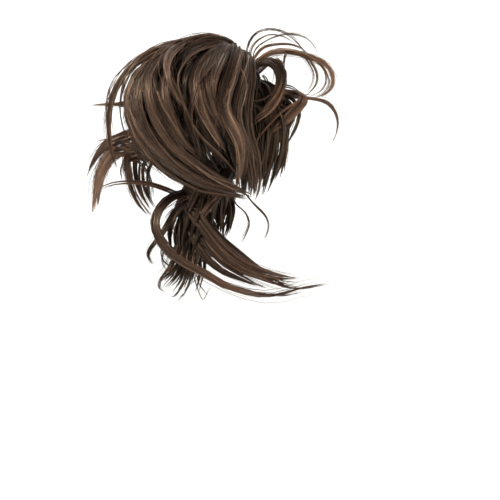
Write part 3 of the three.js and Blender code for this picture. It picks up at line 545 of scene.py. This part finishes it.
far = HairMesh()
shell_centre = place(SHELL["across"], SHELL["up"], SHELL["near"])
shell_half = SHARE * np.array([SHELL["half"][0], SHELL["half"][2], SHELL["half"][1]])
for layer in FAR_LAYERS:
    for i, angle in enumerate(np.linspace(*FAR_TURNS, layer["count"])):
        points = [core_root(*FAR_ROOT)]
        for k, down in enumerate(FAR_DOWN):
            turned, polar = math.radians(angle + FAR_SWIRL * k / len(FAR_DOWN)), math.radians(down)
            level = [math.sin(polar) * math.cos(turned), math.sin(polar) * math.sin(turned)]
            outwards = np.array([*level, math.cos(polar)])
            points.append(shell_centre + layer["depth"] * shell_half * outwards)
        grow_lock(far, layer, points, shell_centre, layer["per_mm"], layer["seed"] + i)

MIRROR = np.array([-1, 1, 1])
MIRRORED_LENGTH = 0.9


def grow_mirrored(hair, row, roots, middle, per_mm, seed):
    """A row's lock again on the wearer's left, as the mirror image and a little shorter."""
    shorter = [(across, up * MIRRORED_LENGTH) for across, up in row["path"]]
    points = [point * MIRROR for point in roots + path_points(shorter, row["near"])]
    grow_lock(hair, row, points, middle * MIRROR, per_mm, seed)


for i, row in enumerate(RIGHT_FALLS):
    if row.get("both"):
        grow_mirrored(far, row, [core_root(*FALL_ROOT)], core_centre, 8, 320 + i)

# the imported middle, as rings down an egg that is smaller than the locks' middle, so that they hide it; it
# is painted near-black, as painted shade inside the hair
EGG = {"rings": 16, "sides": 24, "share": 0.78, "raised": 0.008, "end": 0.05, "tone": 0.05, "length": 0.3}
levels = np.cos(np.linspace(EGG["end"], math.pi - EGG["end"], EGG["rings"]))
girth = np.sqrt(1 - levels**2)
half = EGG["share"] * SHARE * np.array(CORE["half"])
centres = core_centre + [0, 0, EGG["raised"]] + np.outer(levels * half[1], [0, 0, 1])
across_x = np.tile([1.0, 0, 0], (EGG["rings"], 1))
across_y = np.tile([0, 1.0, 0], (EGG["rings"], 1))
wide, thick = (girth * half[0])[None], (girth * half[2])[None]
sides, tone, length = EGG["sides"], EGG["tone"], EGG["length"]
far.tubes(centres[None], across_x[None], across_y[None], wide, thick, tone, length, sides)
far_side = far.finish("crown_far_side", brown_fibre)
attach(far_side, "root")
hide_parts("crown_plume")

# Flicked ends
# Thin ends at the back of the fall, of the same fibre, that curl outwards as it does when it is set on a hot
# rod. They are sewn in with the fall, low in its middle.

FLICK_ROOT = (-0.3, -0.1)

FLICKS = [
    dict(name="high_flick", near=(0.3, 0.24, 0.15), wide=15, thick=11, tip=0.3, tone=0.42, tip_tone=0.66,
         path=[(-1.05, 0.27), (-1.2, 0.22), (-1.36, 0.16), (-1.49, 0.07), (-1.6, -0.07), (-1.68, -0.25)]),
    dict(name="long_flick", near=(0.35, 0.34, 0.3), wide=17, thick=13, tip=0.6, tone=0.48, tip_tone=0.95,
         path=[(-1.05, 0.15), (-1.2, 0.11), (-1.37, 0.04), (-1.48, -0.09), (-1.55, -0.26), (-1.58, -0.44),
               (-1.59, -0.62)]),
    dict(name="spike", near=(0.3, 0.1, 0.05), wide=5, thick=5, tip=0.25, tone=0.5,
         path=[(-1.2, 0.52), (-1.42, 0.52), (-1.63, 0.51)]),
    dict(name="tuft", near=(0.2, 0.1, 0.1), wide=12, thick=7, tip=0.4, tone=0.5, tip_tone=0.86,
         path=[(-1.12, 0.04), (-1.25, -0.02), (-1.31, -0.12), (-1.31, -0.23)]),
    dict(name="outer_hook", near=(0.2, 0.12, 0.12), wide=9, thick=6, tip=0.5, tone=0.5, tip_tone=0.72,
         path=[(-1.14, 0.16), (-1.26, 0.04), (-1.25, -0.14), (-1.22, -0.32), (-1.14, -0.49),
               (-1.01, -0.63)]),
    dict(name="middle_hook", near=(0.2, 0.06, 0.05), wide=9, thick=6, tip=0.5, tone=0.4,
         path=[(-1.06, 0.12), (-1.17, -0.02), (-1.18, -0.16), (-1.16, -0.3), (-1.09, -0.46),
               (-0.97, -0.6)]),
    dict(name="inner_hook", near=(0.15, 0.03, 0.02), wide=8, thick=5, tip=0.5, tone=0.4, tip_tone=0.62,
         path=[(-1.0, 0.06), (-1.1, -0.06), (-1.11, -0.19), (-1.09, -0.32), (-1.03, -0.46),
               (-0.94, -0.57)]),
    dict(name="last_hook", near=(0.12, 0.0, 0.0), wide=8, thick=4.5, tip=0.5, tone=0.32,
         path=[(-0.92, 0.02), (-1.03, -0.1), (-1.05, -0.22), (-1.05, -0.34), (-1.0, -0.47),
               (-0.92, -0.56)]),
]
hair = HairMesh()
for i, row in enumerate(FLICKS):
    points = [core_root(*FLICK_ROOT)] + path_points(row["path"], row["near"])
    grow_lock(hair, row, points, core_centre, 11, 400 + i)
flicks = hair.finish("crown_flicks", brown_fibre)
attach(flicks, "root")
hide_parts("crown_plume")

# Loops over the crown of the head
# Locks from the top pad that rise over the clip's end. Some turn round in open rings, and some fall beside
# the head, over fill locks that cover the clip's jaws, painted dark as the shade there.

light_fibre = modacrylic_fibre("modacrylic_fibre_light_brown", "#fff4ea")

CLIP_LEAN = math.radians(32)
CLIP_DEPTH = 0.034
CLIP_LENGTH = 0.084
ROOT_DEPTH = CLIP_DEPTH + 0.0048  # in the outer layer of a pad
ROOT_SPREAD = 0.022  # width of a pad's row of roots
TOP_PAD = 0.345  # of the clip's length, up from its middle
CREST_RISE = 0.012  # of the hair where it goes over the clip's end


def clip_point(x, y, z):
    """A point given in the clip's own upright frame."""
    return np.array([
        x,
        y * math.cos(CLIP_LEAN) + z * math.sin(CLIP_LEAN),
        -y * math.sin(CLIP_LEAN) + z * math.cos(CLIP_LEAN),
    ])


LOOPS = [
    # ring_shade is a fill lock, painted dark as the shade round the small ring
    dict(name="ring_shade", near=(0.2, 0.26, 0.26), wide=17, thick=8, tip=0.8, tone=0.04, fill=True,
         path=[(0.0, 0.8), (0.02, 0.66), (0.03, 0.5)]),
    dict(name="great_ring", near=(0.15, -0.12, 0.0), wide=5, thick=6, tip=0.4, tone=0.34, tip_tone=0.72,
         path=[(0.0, 0.9), (0.08, 0.99), (0.21, 1.04), (0.37, 1.045), (0.51, 1.03), (0.63, 0.99),
               (0.74, 0.93), (0.8, 0.84), (0.81, 0.74), (0.76, 0.65), (0.66, 0.6), (0.52, 0.58)]),
    dict(name="small_ring", near=(0.16, 0.3, 0.36), wide=11, thick=9, tip=0.5, tone=0.14, tip_tone=0.34,
         path=[(-0.03, 0.72), (-0.01, 0.83), (0.06, 0.92), (0.17, 0.94), (0.26, 0.87), (0.275, 0.75),
               (0.22, 0.65), (0.1, 0.6)]),
    dict(name="bright_drop", near=(0.08, 0.42, 0.62), wide=8, thick=6, tip=0.35, tone=0.3, tip_tone=0.76,
         path=[(0.22, 0.98), (0.28, 0.9), (0.29, 0.74), (0.24, 0.57), (0.15, 0.44), (0.05, 0.36),
               (-0.05, 0.28)]),
    dict(name="hole_curl", near=(0.12, 0.16, 0.2), wide=10, thick=7, tip=0.5, tone=0.2,
         path=[(0.04, 0.56), (0.2, 0.57), (0.36, 0.6), (0.46, 0.58), (0.5, 0.54)]),
    dict(name="side_drop", near=(0.1, 0.32, 0.52), wide=11, thick=6, tip=0.4, tone=0.32, tip_tone=0.76,
         both=True,
         path=[(0.3, 0.63), (0.43, 0.62), (0.5, 0.58), (0.42, 0.47), (0.31, 0.35), (0.2, 0.25),
               (0.12, 0.17)]),
    dict(name="middle_drop", near=(0.2, 0.38, 0.46), wide=9, thick=5, tip=0.3, tone=0.45,
         path=[(0.2, 0.6), (0.22, 0.48), (0.2, 0.36), (0.16, 0.26)]),
    dict(name="temple_drop", near=(0.25, 0.44, 0.42), wide=8, thick=5, tip=0.4, tone=0.44,
         path=[(0.17, 0.5), (0.26, 0.35), (0.31, 0.23), (0.32, 0.1), (0.31, -0.05), (0.3, -0.2)]),
    dict(name="cap_curl", near=(0.1, 0.2, 0.3), wide=6, thick=5, tip=0.3, tone=0.55,
         path=[(0.47, 0.6), (0.62, 0.58), (0.76, 0.53), (0.84, 0.41), (0.85, 0.3), (0.82, 0.18),
               (0.74, 0.08)]),
    # dark_side and the covers below it are fill locks, painted dark as the shade over the clip's jaws
    dict(name="dark_side", near=(0.12, 0.28, 0.38), wide=26, thick=7, tip=0.6, tone=0.08, fill=True,
         path=[(0.05, 0.54), (0.24, 0.55), (0.37, 0.46), (0.31, 0.27), (0.2, 0.05)]),
    dict(name="gap_cover", near=(0.25, 0.4, 0.42), wide=24, thick=7, tip=0.85, tone=0.06, fill=True,
         path=[(0.1, 0.5), (0.1, 0.2), (0.08, -0.1), (0.03, -0.42)]),
    dict(name="low_cover", near=(0.2, 0.3, 0.36), wide=24, thick=7, tip=0.85, tone=0.06, fill=True,
         path=[(0.2, 0.42), (0.25, 0.1), (0.22, -0.1), (0.13, -0.32)]),
    dict(name="side_cover", near=(0.3, 0.44, 0.48), wide=27, thick=7, tip=0.85, tone=0.1, both=True,
         fill=True,
         path=[(0.1, 0.5), (0.17, 0.34), (0.14, 0.04), (0.04, -0.42)]),
    dict(name="front_cover", near=(0.2, 0.34, 0.4), wide=24, thick=6, tip=0.8, tone=0.1, both=True,
         fill=True,
         path=[(0.26, 0.5), (0.27, 0.3), (0.24, 0.02), (0.17, -0.28)]),
]
LOOP_WISPS = [
    dict(name="top_loop", near=(0.12, 0.02, 0.0), fibres=7, tone=0.46,
         path=[(-0.06, 1.04), (-0.06, 1.07), (-0.02, 1.18), (0.05, 1.25), (0.16, 1.28), (0.28, 1.26),
               (0.41, 1.18), (0.51, 1.06), (0.59, 0.94)]),
    dict(name="inner_top_loop", near=(0.12, 0.04, 0.0), fibres=4, tone=0.56,
         path=[(-0.03, 0.98), (-0.01, 1.09), (0.06, 1.18), (0.17, 1.23), (0.31, 1.21), (0.45, 1.12)]),
    dict(name="right_top_loop", near=(0.12, 0.0, 0.0), fibres=7, tone=0.46,
         path=[(-0.02, 0.93), (0.03, 1.09), (0.16, 1.18), (0.33, 1.24), (0.42, 1.24), (0.53, 1.21),
               (0.62, 1.12), (0.66, 1.02)]),
    dict(name="low_top_loop", near=(0.12, 0.05, 0.0), fibres=18, tone=0.64,
         path=[(-0.02, 0.94), (0.1, 1.09), (0.24, 1.13), (0.39, 1.13), (0.49, 1.09), (0.57, 1.02)]),
    dict(name="ring_light", near=(0.14, 0.05, -0.02), fibres=16, tone=0.72,
         path=[(0.04, 0.96), (0.15, 1.05), (0.31, 1.08), (0.47, 1.05), (0.59, 1.0), (0.69, 0.91)]),
    dict(name="innermost_split", near=(0.05, -0.05, 0.0), fibres=8, tone=0.62,
         path=[(0.31, 1.06), (0.47, 1.03), (0.56, 0.94), (0.61, 0.83), (0.59, 0.73), (0.53, 0.65)]),
    dict(name="inner_split", near=(0.05, -0.08, 0.0), fibres=12, tone=0.66,
         path=[(0.33, 1.06), (0.52, 1.02), (0.6, 0.94), (0.65, 0.83), (0.64, 0.74), (0.58, 0.66),
               (0.51, 0.6)]),
    dict(name="middle_split", near=(0.05, -0.1, 0.0), fibres=10, tone=0.62,
         path=[(0.37, 1.05), (0.55, 1.02), (0.64, 0.96), (0.72, 0.87), (0.74, 0.76), (0.69, 0.67),
               (0.58, 0.61)]),
    dict(name="outer_split", near=(0.05, -0.1, 0.0), fibres=9, tone=0.6,
         path=[(0.41, 1.04), (0.59, 0.99), (0.7, 0.92), (0.76, 0.81), (0.77, 0.73), (0.71, 0.65),
               (0.6, 0.6)]),
    dict(name="ring_strand", near=(0.1, 0.16, 0.2), fibres=14, tone=0.3,
         path=[(0.33, 1.05), (0.31, 0.98), (0.3, 0.88), (0.29, 0.72)]),
    dict(name="hole_arc", near=(0.14, 0.12, 0.1), fibres=10, tone=0.24,
         path=[(0.15, 0.65), (0.27, 0.7), (0.38, 0.69), (0.46, 0.64), (0.51, 0.58)]),
    dict(name="ring_haze", near=(0.1, 0.1, 0.14), fibres=9, tone=0.75,
         path=[(0.09, 0.82), (0.13, 0.76), (0.11, 0.69), (0.05, 0.64)]),
    dict(name="low_ring_strand", near=(0.5, 0.46, 0.36), fibres=9, tone=0.5,
         path=[(-0.19, 0.65), (-0.1, 0.59), (0.02, 0.55), (0.15, 0.59), (0.24, 0.69)]),
    dict(name="left_ring_strand", near=(0.5, 0.5, 0.46), fibres=7, tone=0.44,
         path=[(-0.17, 0.56), (-0.03, 0.52), (0.09, 0.46), (0.15, 0.34)]),
    dict(name="drop_thread", near=(0.3, 0.46, 0.6), fibres=9, tone=0.66,
         path=[(0.29, 0.86), (0.28, 0.72), (0.21, 0.58), (0.09, 0.44), (-0.03, 0.32)]),
    dict(name="side_thread", near=(0.24, 0.42, 0.56), fibres=9, tone=0.7,
         path=[(0.49, 0.57), (0.37, 0.5), (0.24, 0.39), (0.09, 0.22), (0.01, 0.1)]),
    dict(name="edge_strand", near=(0.5, 0.56, 0.5), fibres=12, tone=0.66,
         path=[(-0.04, 0.18), (0.05, -0.02), (0.07, -0.2), (0.05, -0.38), (0.0, -0.46)]),
]
hair = HairMesh()
loop_middle = place(0.2, 0.4, -0.2)
for i, row in enumerate(LOOPS):
    spread = ((i + 0.5) / len(LOOPS) - 0.5) * ROOT_SPREAD
    pad_root = clip_point(spread, -ROOT_DEPTH, TOP_PAD * CLIP_LENGTH)
    crest = clip_point(spread, -ROOT_DEPTH, CLIP_LENGTH / 2 + CREST_RISE)
    points = [pad_root, crest] + path_points(row["path"], row["near"])
    grow_lock(hair, row, points, loop_middle, 10, 500 + i)
    if row.get("both"):
        grow_mirrored(hair, row, [pad_root, crest], loop_middle, 7, 520 + i)
for i, row in enumerate(LOOP_WISPS):
    grow_wisp(hair, row, 540 + i)
loops = hair.finish("crown_loops", light_fibre)
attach(loops, "root")
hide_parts("loop_plume")

# Nape locks
# Locks from the clip's lower pad: a dark loop under the fall, sweeps round both sides of the nape, and the
# ragged curled ends of the densest hair, over fill locks painted dark as its shade.

dark_fibre = modacrylic_fibre("modacrylic_fibre_dark_brown", "#f4ecea")
FOOT_PAD = -0.335  # of the clip's length, up from its middle

NAPE = [
    dict(name="long_strand", near=(0.2, 0.32, 0.3), wide=3.6, thick=3, tip=0.3, tone=0.55,
         path=[(-0.73, -0.37), (-0.88, -0.33), (-1.03, -0.28), (-1.23, -0.26), (-1.43, -0.28),
               (-1.58, -0.35), (-1.7, -0.45)]),
    dict(name="dark_loop", near=(0.2, 0.54, 0.5), wide=8, thick=8, tip=0.4, tone=0.02, tip_tone=0.72,
         path=[(-0.62, -0.36), (-0.74, -0.37), (-0.86, -0.44), (-0.95, -0.55), (-0.98, -0.7),
               (-0.93, -0.85), (-0.83, -0.97), (-0.66, -1.08), (-0.47, -1.18), (-0.26, -1.31),
               (-0.01, -1.38), (0.21, -1.38)]),
    dict(name="nape_sweep", near=(0.28, 0.5, 0.3), wide=14, thick=9, tip=0.2, tone=0.42, tip_tone=0.74,
         both=True,
         path=[(-0.66, -0.46), (-0.55, -0.63), (-0.43, -0.79), (-0.29, -0.95), (-0.15, -1.06),
               (0.01, -1.14), (0.17, -1.19), (0.33, -1.22), (0.5, -1.23)]),
    dict(name="high_sweep", near=(0.3, 0.44, 0.26), wide=8, thick=5, tip=0.25, tone=0.36,
         path=[(-0.58, -0.52), (-0.46, -0.7), (-0.3, -0.87), (-0.1, -1.02), (0.1, -1.14), (0.32, -1.21)]),
    dict(name="second_sweep", near=(0.22, 0.4, 0.3), wide=10, thick=7, tip=0.3, tone=0.14, tip_tone=0.34,
         both=True,
         path=[(-0.66, -0.6), (-0.58, -0.82), (-0.46, -1.0), (-0.33, -1.12), (-0.17, -1.2), (0.01, -1.28),
               (0.18, -1.34)]),
    dict(name="end_sweep", near=(0.26, 0.4, 0.28), wide=12, thick=7, tip=0.2, tone=0.36, tip_tone=0.7,
         path=[(-0.5, -0.8), (-0.36, -0.98), (-0.15, -1.11), (0.07, -1.2), (0.27, -1.28), (0.5, -1.31)]),
    dict(name="bottom_sweep", near=(0.2, 0.34, 0.3), wide=8, thick=6, tip=0.25, tone=0.3, tip_tone=0.6,
         path=[(-0.7, -0.66), (-0.76, -0.92), (-0.62, -1.12), (-0.45, -1.22), (-0.2, -1.33), (0.05, -1.39),
               (0.27, -1.38), (0.5, -1.31), (0.73, -1.27)]),
    # dark_fall and inner_fall are fill locks, painted dark as the shade under the fall
    dict(name="dark_fall", near=(0.12, 0.24, 0.26), wide=36, thick=16, tip=0.6, tone=0.06, fill=True,
         path=[(-0.6, -0.44), (-0.66, -0.66), (-0.7, -0.88), (-0.68, -1.12)]),
    dict(name="inner_fall", near=(0.1, 0.14, 0.14), wide=28, thick=11, tip=0.5, tone=0.22, both=True,
         fill=True,
         path=[(-0.36, -0.42), (-0.32, -0.58), (-0.3, -0.74), (-0.34, -0.9)]),
    dict(name="short_end", near=(0.34, 0.48, 0.48), wide=10, thick=5, tip=0.5, tone=0.45, tip_tone=0.8,
         path=[(-0.36, -0.38), (-0.42, -0.48), (-0.49, -0.58), (-0.54, -0.67)]),
    dict(name="ragged_left", near=(0.2, 0.36, 0.36), wide=15, thick=9, tip=0.6, tone=0.34,
         path=[(-0.7, -0.8), (-0.78, -1.0), (-0.84, -1.14), (-0.93, -1.25), (-0.94, -1.34)]),
    dict(name="ragged_lump", near=(0.15, 0.3, 0.3), wide=16, thick=8, tip=0.6, tone=0.28,
         path=[(-0.66, -0.8), (-0.7, -1.05), (-0.76, -1.2), (-0.87, -1.32), (-0.89, -1.4)]),
    dict(name="ragged_low", near=(0.2, 0.4, 0.4), wide=16, thick=8, tip=0.6, tone=0.4,
         path=[(-0.64, -0.8), (-0.66, -1.12), (-0.7, -1.28), (-0.79, -1.41), (-0.83, -1.41)]),
    dict(name="ragged_middle", near=(0.12, 0.26, 0.22), wide=16, thick=7, tip=0.6, tone=0.3,
         path=[(-0.6, -0.84), (-0.6, -1.14), (-0.66, -1.29), (-0.72, -1.4)]),
    dict(name="ragged_right", near=(0.12, 0.24, 0.2), wide=14, thick=7, tip=0.6, tone=0.42,
         path=[(-0.55, -0.84), (-0.53, -1.12), (-0.57, -1.27), (-0.6, -1.39)]),
    # ragged_body is a fill lock, painted dark as the shade among the ragged ends
    dict(name="ragged_body", near=(0.12, 0.24, 0.24), wide=40, thick=14, tip=0.8, tone=0.24, fill=True,
         path=[(-0.62, -0.8), (-0.66, -1.02), (-0.7, -1.18), (-0.74, -1.3)]),
    dict(name="hook_end", near=(0.2, 0.24, 0.2), wide=9, thick=7, tip=0.5, tone=0.18,
         path=[(-0.8, -0.62), (-0.93, -0.82), (-1.01, -0.92), (-1.04, -1.0), (-1.01, -1.07),
               (-0.95, -1.07)]),
]
NAPE_WISPS = [
    dict(name="outer_loop_thread", near=(0.3, 0.5, 0.5), fibres=12, tone=0.22,
         path=[(-0.67, -0.33), (-0.87, -0.41), (-0.98, -0.55), (-1.02, -0.67), (-0.98, -0.82),
               (-0.88, -0.95), (-0.74, -1.05), (-0.58, -1.1)]),
    dict(name="inner_loop_thread", near=(0.3, 0.5, 0.5), fibres=10, tone=0.3,
         path=[(-0.69, -0.39), (-0.83, -0.45), (-0.93, -0.57), (-0.94, -0.71), (-0.88, -0.84),
               (-0.75, -0.96), (-0.57, -1.06)]),
    dict(name="hook_thread", near=(0.24, 0.24, 0.22), fibres=24, tone=0.26,
         path=[(-0.93, -0.8), (-1.02, -0.89), (-1.06, -0.99), (-1.01, -1.08)]),
    dict(name="tuft_hook", near=(0.36, 0.36, 0.34), fibres=24, tone=0.36,
         path=[(-0.75, -1.06), (-0.85, -1.18), (-0.93, -1.24), (-0.94, -1.32), (-0.88, -1.36)]),
    dict(name="low_tuft_hook", near=(0.36, 0.38, 0.36), fibres=12, tone=0.34,
         path=[(-0.63, -1.14), (-0.71, -1.28), (-0.79, -1.4), (-0.85, -1.41)]),
    dict(name="soft_strand", near=(0.3, 0.36, 0.3), fibres=12, tone=0.42,
         path=[(-0.25, -0.36), (-0.17, -0.48), (-0.07, -0.58), (-0.04, -0.68), (-0.09, -0.82),
               (-0.13, -0.9)]),
    dict(name="right_soft_strand", near=(0.3, 0.34, 0.26), fibres=7, tone=0.42,
         path=[(-0.09, -0.36), (0.01, -0.48), (0.13, -0.62), (0.15, -0.72), (0.09, -0.88)]),
    dict(name="left_soft_strand", near=(0.3, 0.34, 0.3), fibres=6, tone=0.3,
         path=[(-0.29, -0.36), (-0.32, -0.49), (-0.32, -0.64), (-0.3, -0.82)]),
    dict(name="light_end", near=(0.44, 0.52, 0.56), fibres=12, tone=0.72,
         path=[(-0.37, -0.4), (-0.41, -0.44), (-0.48, -0.52), (-0.55, -0.59)]),
    dict(name="high_thread", near=(0.3, 0.42, 0.46), fibres=4, tone=0.4,
         path=[(-0.57, -0.34), (-0.63, -0.38), (-0.78, -0.46), (-0.91, -0.55)]),
    dict(name="middle_thread", near=(0.3, 0.42, 0.46), fibres=4, tone=0.4,
         path=[(-0.63, -0.42), (-0.73, -0.49), (-0.83, -0.56), (-0.9, -0.65)]),
    dict(name="inner_thread", near=(0.3, 0.44, 0.4), fibres=5, tone=0.35,
         path=[(-0.63, -0.42), (-0.71, -0.5), (-0.79, -0.64), (-0.79, -0.74), (-0.74, -0.85)]),
    dict(name="v_thread", near=(0.3, 0.34, 0.3), fibres=3, tone=0.35,
         path=[(-0.59, -1.2), (-0.56, -1.31), (-0.5, -1.44), (-0.46, -1.37), (-0.41, -1.28)]),
    dict(name="short_v_thread", near=(0.3, 0.34, 0.3), fibres=3, tone=0.35,
         path=[(-0.57, -1.18), (-0.53, -1.3), (-0.44, -1.41)]),
    dict(name="long_tail", near=(0.34, 0.4, 0.3), fibres=6, tone=0.5,
         path=[(-0.13, -1.06), (0.09, -1.2), (0.33, -1.31), (0.59, -1.31), (0.78, -1.27)]),
    dict(name="middle_tail", near=(0.4, 0.44, 0.34), fibres=8, tone=0.5,
         path=[(-0.21, -1.0), (0.02, -1.16), (0.26, -1.24), (0.47, -1.26)]),
    dict(name="low_tail", near=(0.34, 0.4, 0.3), fibres=8, tone=0.5,
         path=[(-0.45, -1.16), (-0.37, -1.26), (-0.19, -1.3), (0.05, -1.37), (0.28, -1.4), (0.53, -1.36)]),
    dict(name="loose_flick", near=(0.2, 0.2, 0.2), fibres=4, tone=0.5,
         path=[(-1.3, 0.2), (-1.45, 0.17), (-1.57, 0.16)]),
    dict(name="ragged_thread", near=(0.3, 0.34, 0.3), fibres=4, tone=0.3,
         path=[(-0.85, -0.9), (-0.92, -1.0), (-0.9, -1.1), (-0.83, -1.16)]),
    dict(name="pale_tail", near=(0.36, 0.38, 0.3), fibres=7, tone=0.55,
         path=[(0.15, -1.2), (0.37, -1.32), (0.55, -1.32), (0.73, -1.27)]),
    dict(name="ragged_curl", near=(0.36, 0.34, 0.3), fibres=7, tone=0.3,
         path=[(-0.9, -0.84), (-0.92, -0.96), (-0.9, -1.04), (-0.83, -1.11), (-0.8, -1.21)]),
    dict(name="sweep_thread", near=(0.44, 0.56, 0.36), fibres=10, tone=0.62,
         path=[(-0.57, -0.49), (-0.39, -0.76), (-0.17, -1.0), (0.09, -1.16), (0.37, -1.22)]),
]
hair = HairMesh()
nape_middle = place(-0.3, -0.75, -0.2)
for i, row in enumerate(NAPE):
    spread = ((i + 0.5) / len(NAPE) - 0.5) * ROOT_SPREAD
    pad_root = clip_point(spread, -ROOT_DEPTH, FOOT_PAD * CLIP_LENGTH)
    grow_lock(hair, row, [pad_root] + path_points(row["path"], row["near"]), nape_middle, 7, 600 + i)
    if row.get("both"):
        grow_mirrored(hair, row, [pad_root], nape_middle, 5, 620 + i)
for i, row in enumerate(NAPE_WISPS):
    grow_wisp(hair, row, 640 + i)
nape = hair.finish("nape_locks", dark_fibre)
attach(nape, "root")
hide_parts("nape_plume")

# Claw clip
# The hidden clip that grips the wearer's hair, injection-moulded in dark brown ABS. Its walls come smooth and
# glossy from the mould, with faint flow marks in shade and gloss.

abs_plastic = bpy.data.materials.new("moulded_abs_dark_brown")
abs_plastic.use_nodes = True
tree = abs_plastic.node_tree
shader = tree.nodes["Principled BSDF"]
shader.inputs["IOR"].default_value = 1.54
flow = add_node(tree, "ShaderNodeTexNoise", [("Scale", 90.0), ("Detail", 4.0)])
shade = add_node(tree, "ShaderNodeValToRGB", [], [("Fac", flow.outputs["Fac"])])
shade.color_ramp.elements[0].color = linear("#1a120e")
shade.color_ramp.elements[1].color = linear("#2a1e18")
gloss = add_node(
    tree, "ShaderNodeMapRange", [("To Min", 0.22), ("To Max", 0.36)], [("Value", flow.outputs["Fac"])]
)
tree.links.new(shade.outputs["Color"], shader.inputs["Base Color"])
tree.links.new(gloss.outputs["Result"], shader.inputs["Roughness"])
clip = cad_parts["claw_clip"]
clip.data.materials.clear()
clip.data.materials.append(abs_plastic)

# Studio
# A matt white bowl, so that the floor runs up into the background on every side, with soft boxes in it. Two
# of them light the background alone.

BOWL = {"floor": -0.5, "flat": 4.0, "bend": 1.6, "top": 4.5, "bend_steps": 12, "turns": 64}
profile = [(0.0, 0.0), (BOWL["flat"], 0.0)]
for step in range(1, BOWL["bend_steps"] + 1):
    angle = math.radians(90 * step / BOWL["bend_steps"])
    profile.append((BOWL["flat"] + BOWL["bend"] * math.sin(angle), BOWL["bend"] * (1 - math.cos(angle))))
profile.append((BOWL["flat"] + BOWL["bend"], BOWL["top"]))
turns = BOWL["turns"]
points, faces = [], []
for radius, height in profile:
    for k in range(turns):
        angle = 2 * math.pi * k / turns
        points.append((radius * math.cos(angle), radius * math.sin(angle), BOWL["floor"] + height))
for ring in range(len(profile) - 1):
    for k in range(turns):
        a, b = ring * turns + k, ring * turns + (k + 1) % turns
        faces.append((a, b, b + turns, a + turns) if ring else (a, b + turns, a + turns))
bowl_mesh = bpy.data.meshes.new("studio_bowl")
bowl_mesh.from_pydata(points, [], faces)
bowl_mesh.update()
bowl_mesh.polygons.foreach_set("use_smooth", [True] * len(bowl_mesh.polygons))
bowl = bpy.data.objects.new("studio_bowl", bowl_mesh)
bpy.context.collection.objects.link(bowl)
matt_white = bpy.data.materials.new("matt_white_paint")
matt_white.use_nodes = True
matt_white.node_tree.nodes["Principled BSDF"].inputs["Base Color"].default_value = linear("#f6f5f3")
matt_white.node_tree.nodes["Principled BSDF"].inputs["Roughness"].default_value = 0.95
bowl_mesh.materials.append(matt_white)

CAMERA_DISTANCE = 4.8
FRAME_WIDTH = 0.464  # metres across the picture at the hairpiece
SENSOR = 36
target = -0.0028 * ACROSS - 0.0865 * UP  # metres from the clip's teeth to the middle of the picture


def aim(thing, start, end):
    """Puts a light or camera at one place, looking at another."""
    thing.location = start
    thing.rotation_euler = Vector(end - start).to_track_quat("-Z", "Y").to_euler()


SOFTBOXES = [
    dict(name="key_softbox", place=(-0.9, 1.25, 1.2), towards=(0, 0, 0), size=0.7, watts=42),
    dict(name="fill_softbox", place=(1.5, 0.3, 1.6), towards=(0, 0, 0), size=1.2, watts=14),
    dict(name="top_softbox", place=(0.1, 1.9, -0.4), towards=(0, 0, 0), size=0.9, watts=11),
    dict(name="left_rear_softbox", place=(-1.9, 0.3, -1.2), towards=(-0.5, 1.0, -5), size=2.0, watts=100),
    dict(name="right_rear_softbox", place=(1.9, 0.3, -1.2), towards=(0.5, 1.0, -5), size=2.0, watts=100),
]
for row in SOFTBOXES:
    light = bpy.data.lights.new(row["name"], "AREA")
    light.energy = row["watts"]
    light.size = row["size"]
    softbox = bpy.data.objects.new(row["name"], light)
    bpy.context.collection.objects.link(softbox)
    start, end = [a * ACROSS + u * UP + n * NEAR for a, u, n in (row["place"], row["towards"])]
    aim(softbox, start, end)

world = bpy.data.worlds.new("studio_air")
bpy.context.scene.world = world
world.use_nodes = True
world.node_tree.nodes["Background"].inputs["Color"].default_value = (1, 1, 1, 1)
world.node_tree.nodes["Background"].inputs["Strength"].default_value = 0.4
bpy.context.scene.view_settings.view_transform = "Standard"

camera_data = bpy.data.cameras.new("camera")
camera_data.sensor_width = SENSOR
camera_data.lens = SENSOR * CAMERA_DISTANCE / FRAME_WIDTH
camera = bpy.data.objects.new("camera", camera_data)
bpy.context.collection.objects.link(camera)
aim(camera, target + CAMERA_DISTANCE * NEAR, target)
bpy.context.scene.camera = camera
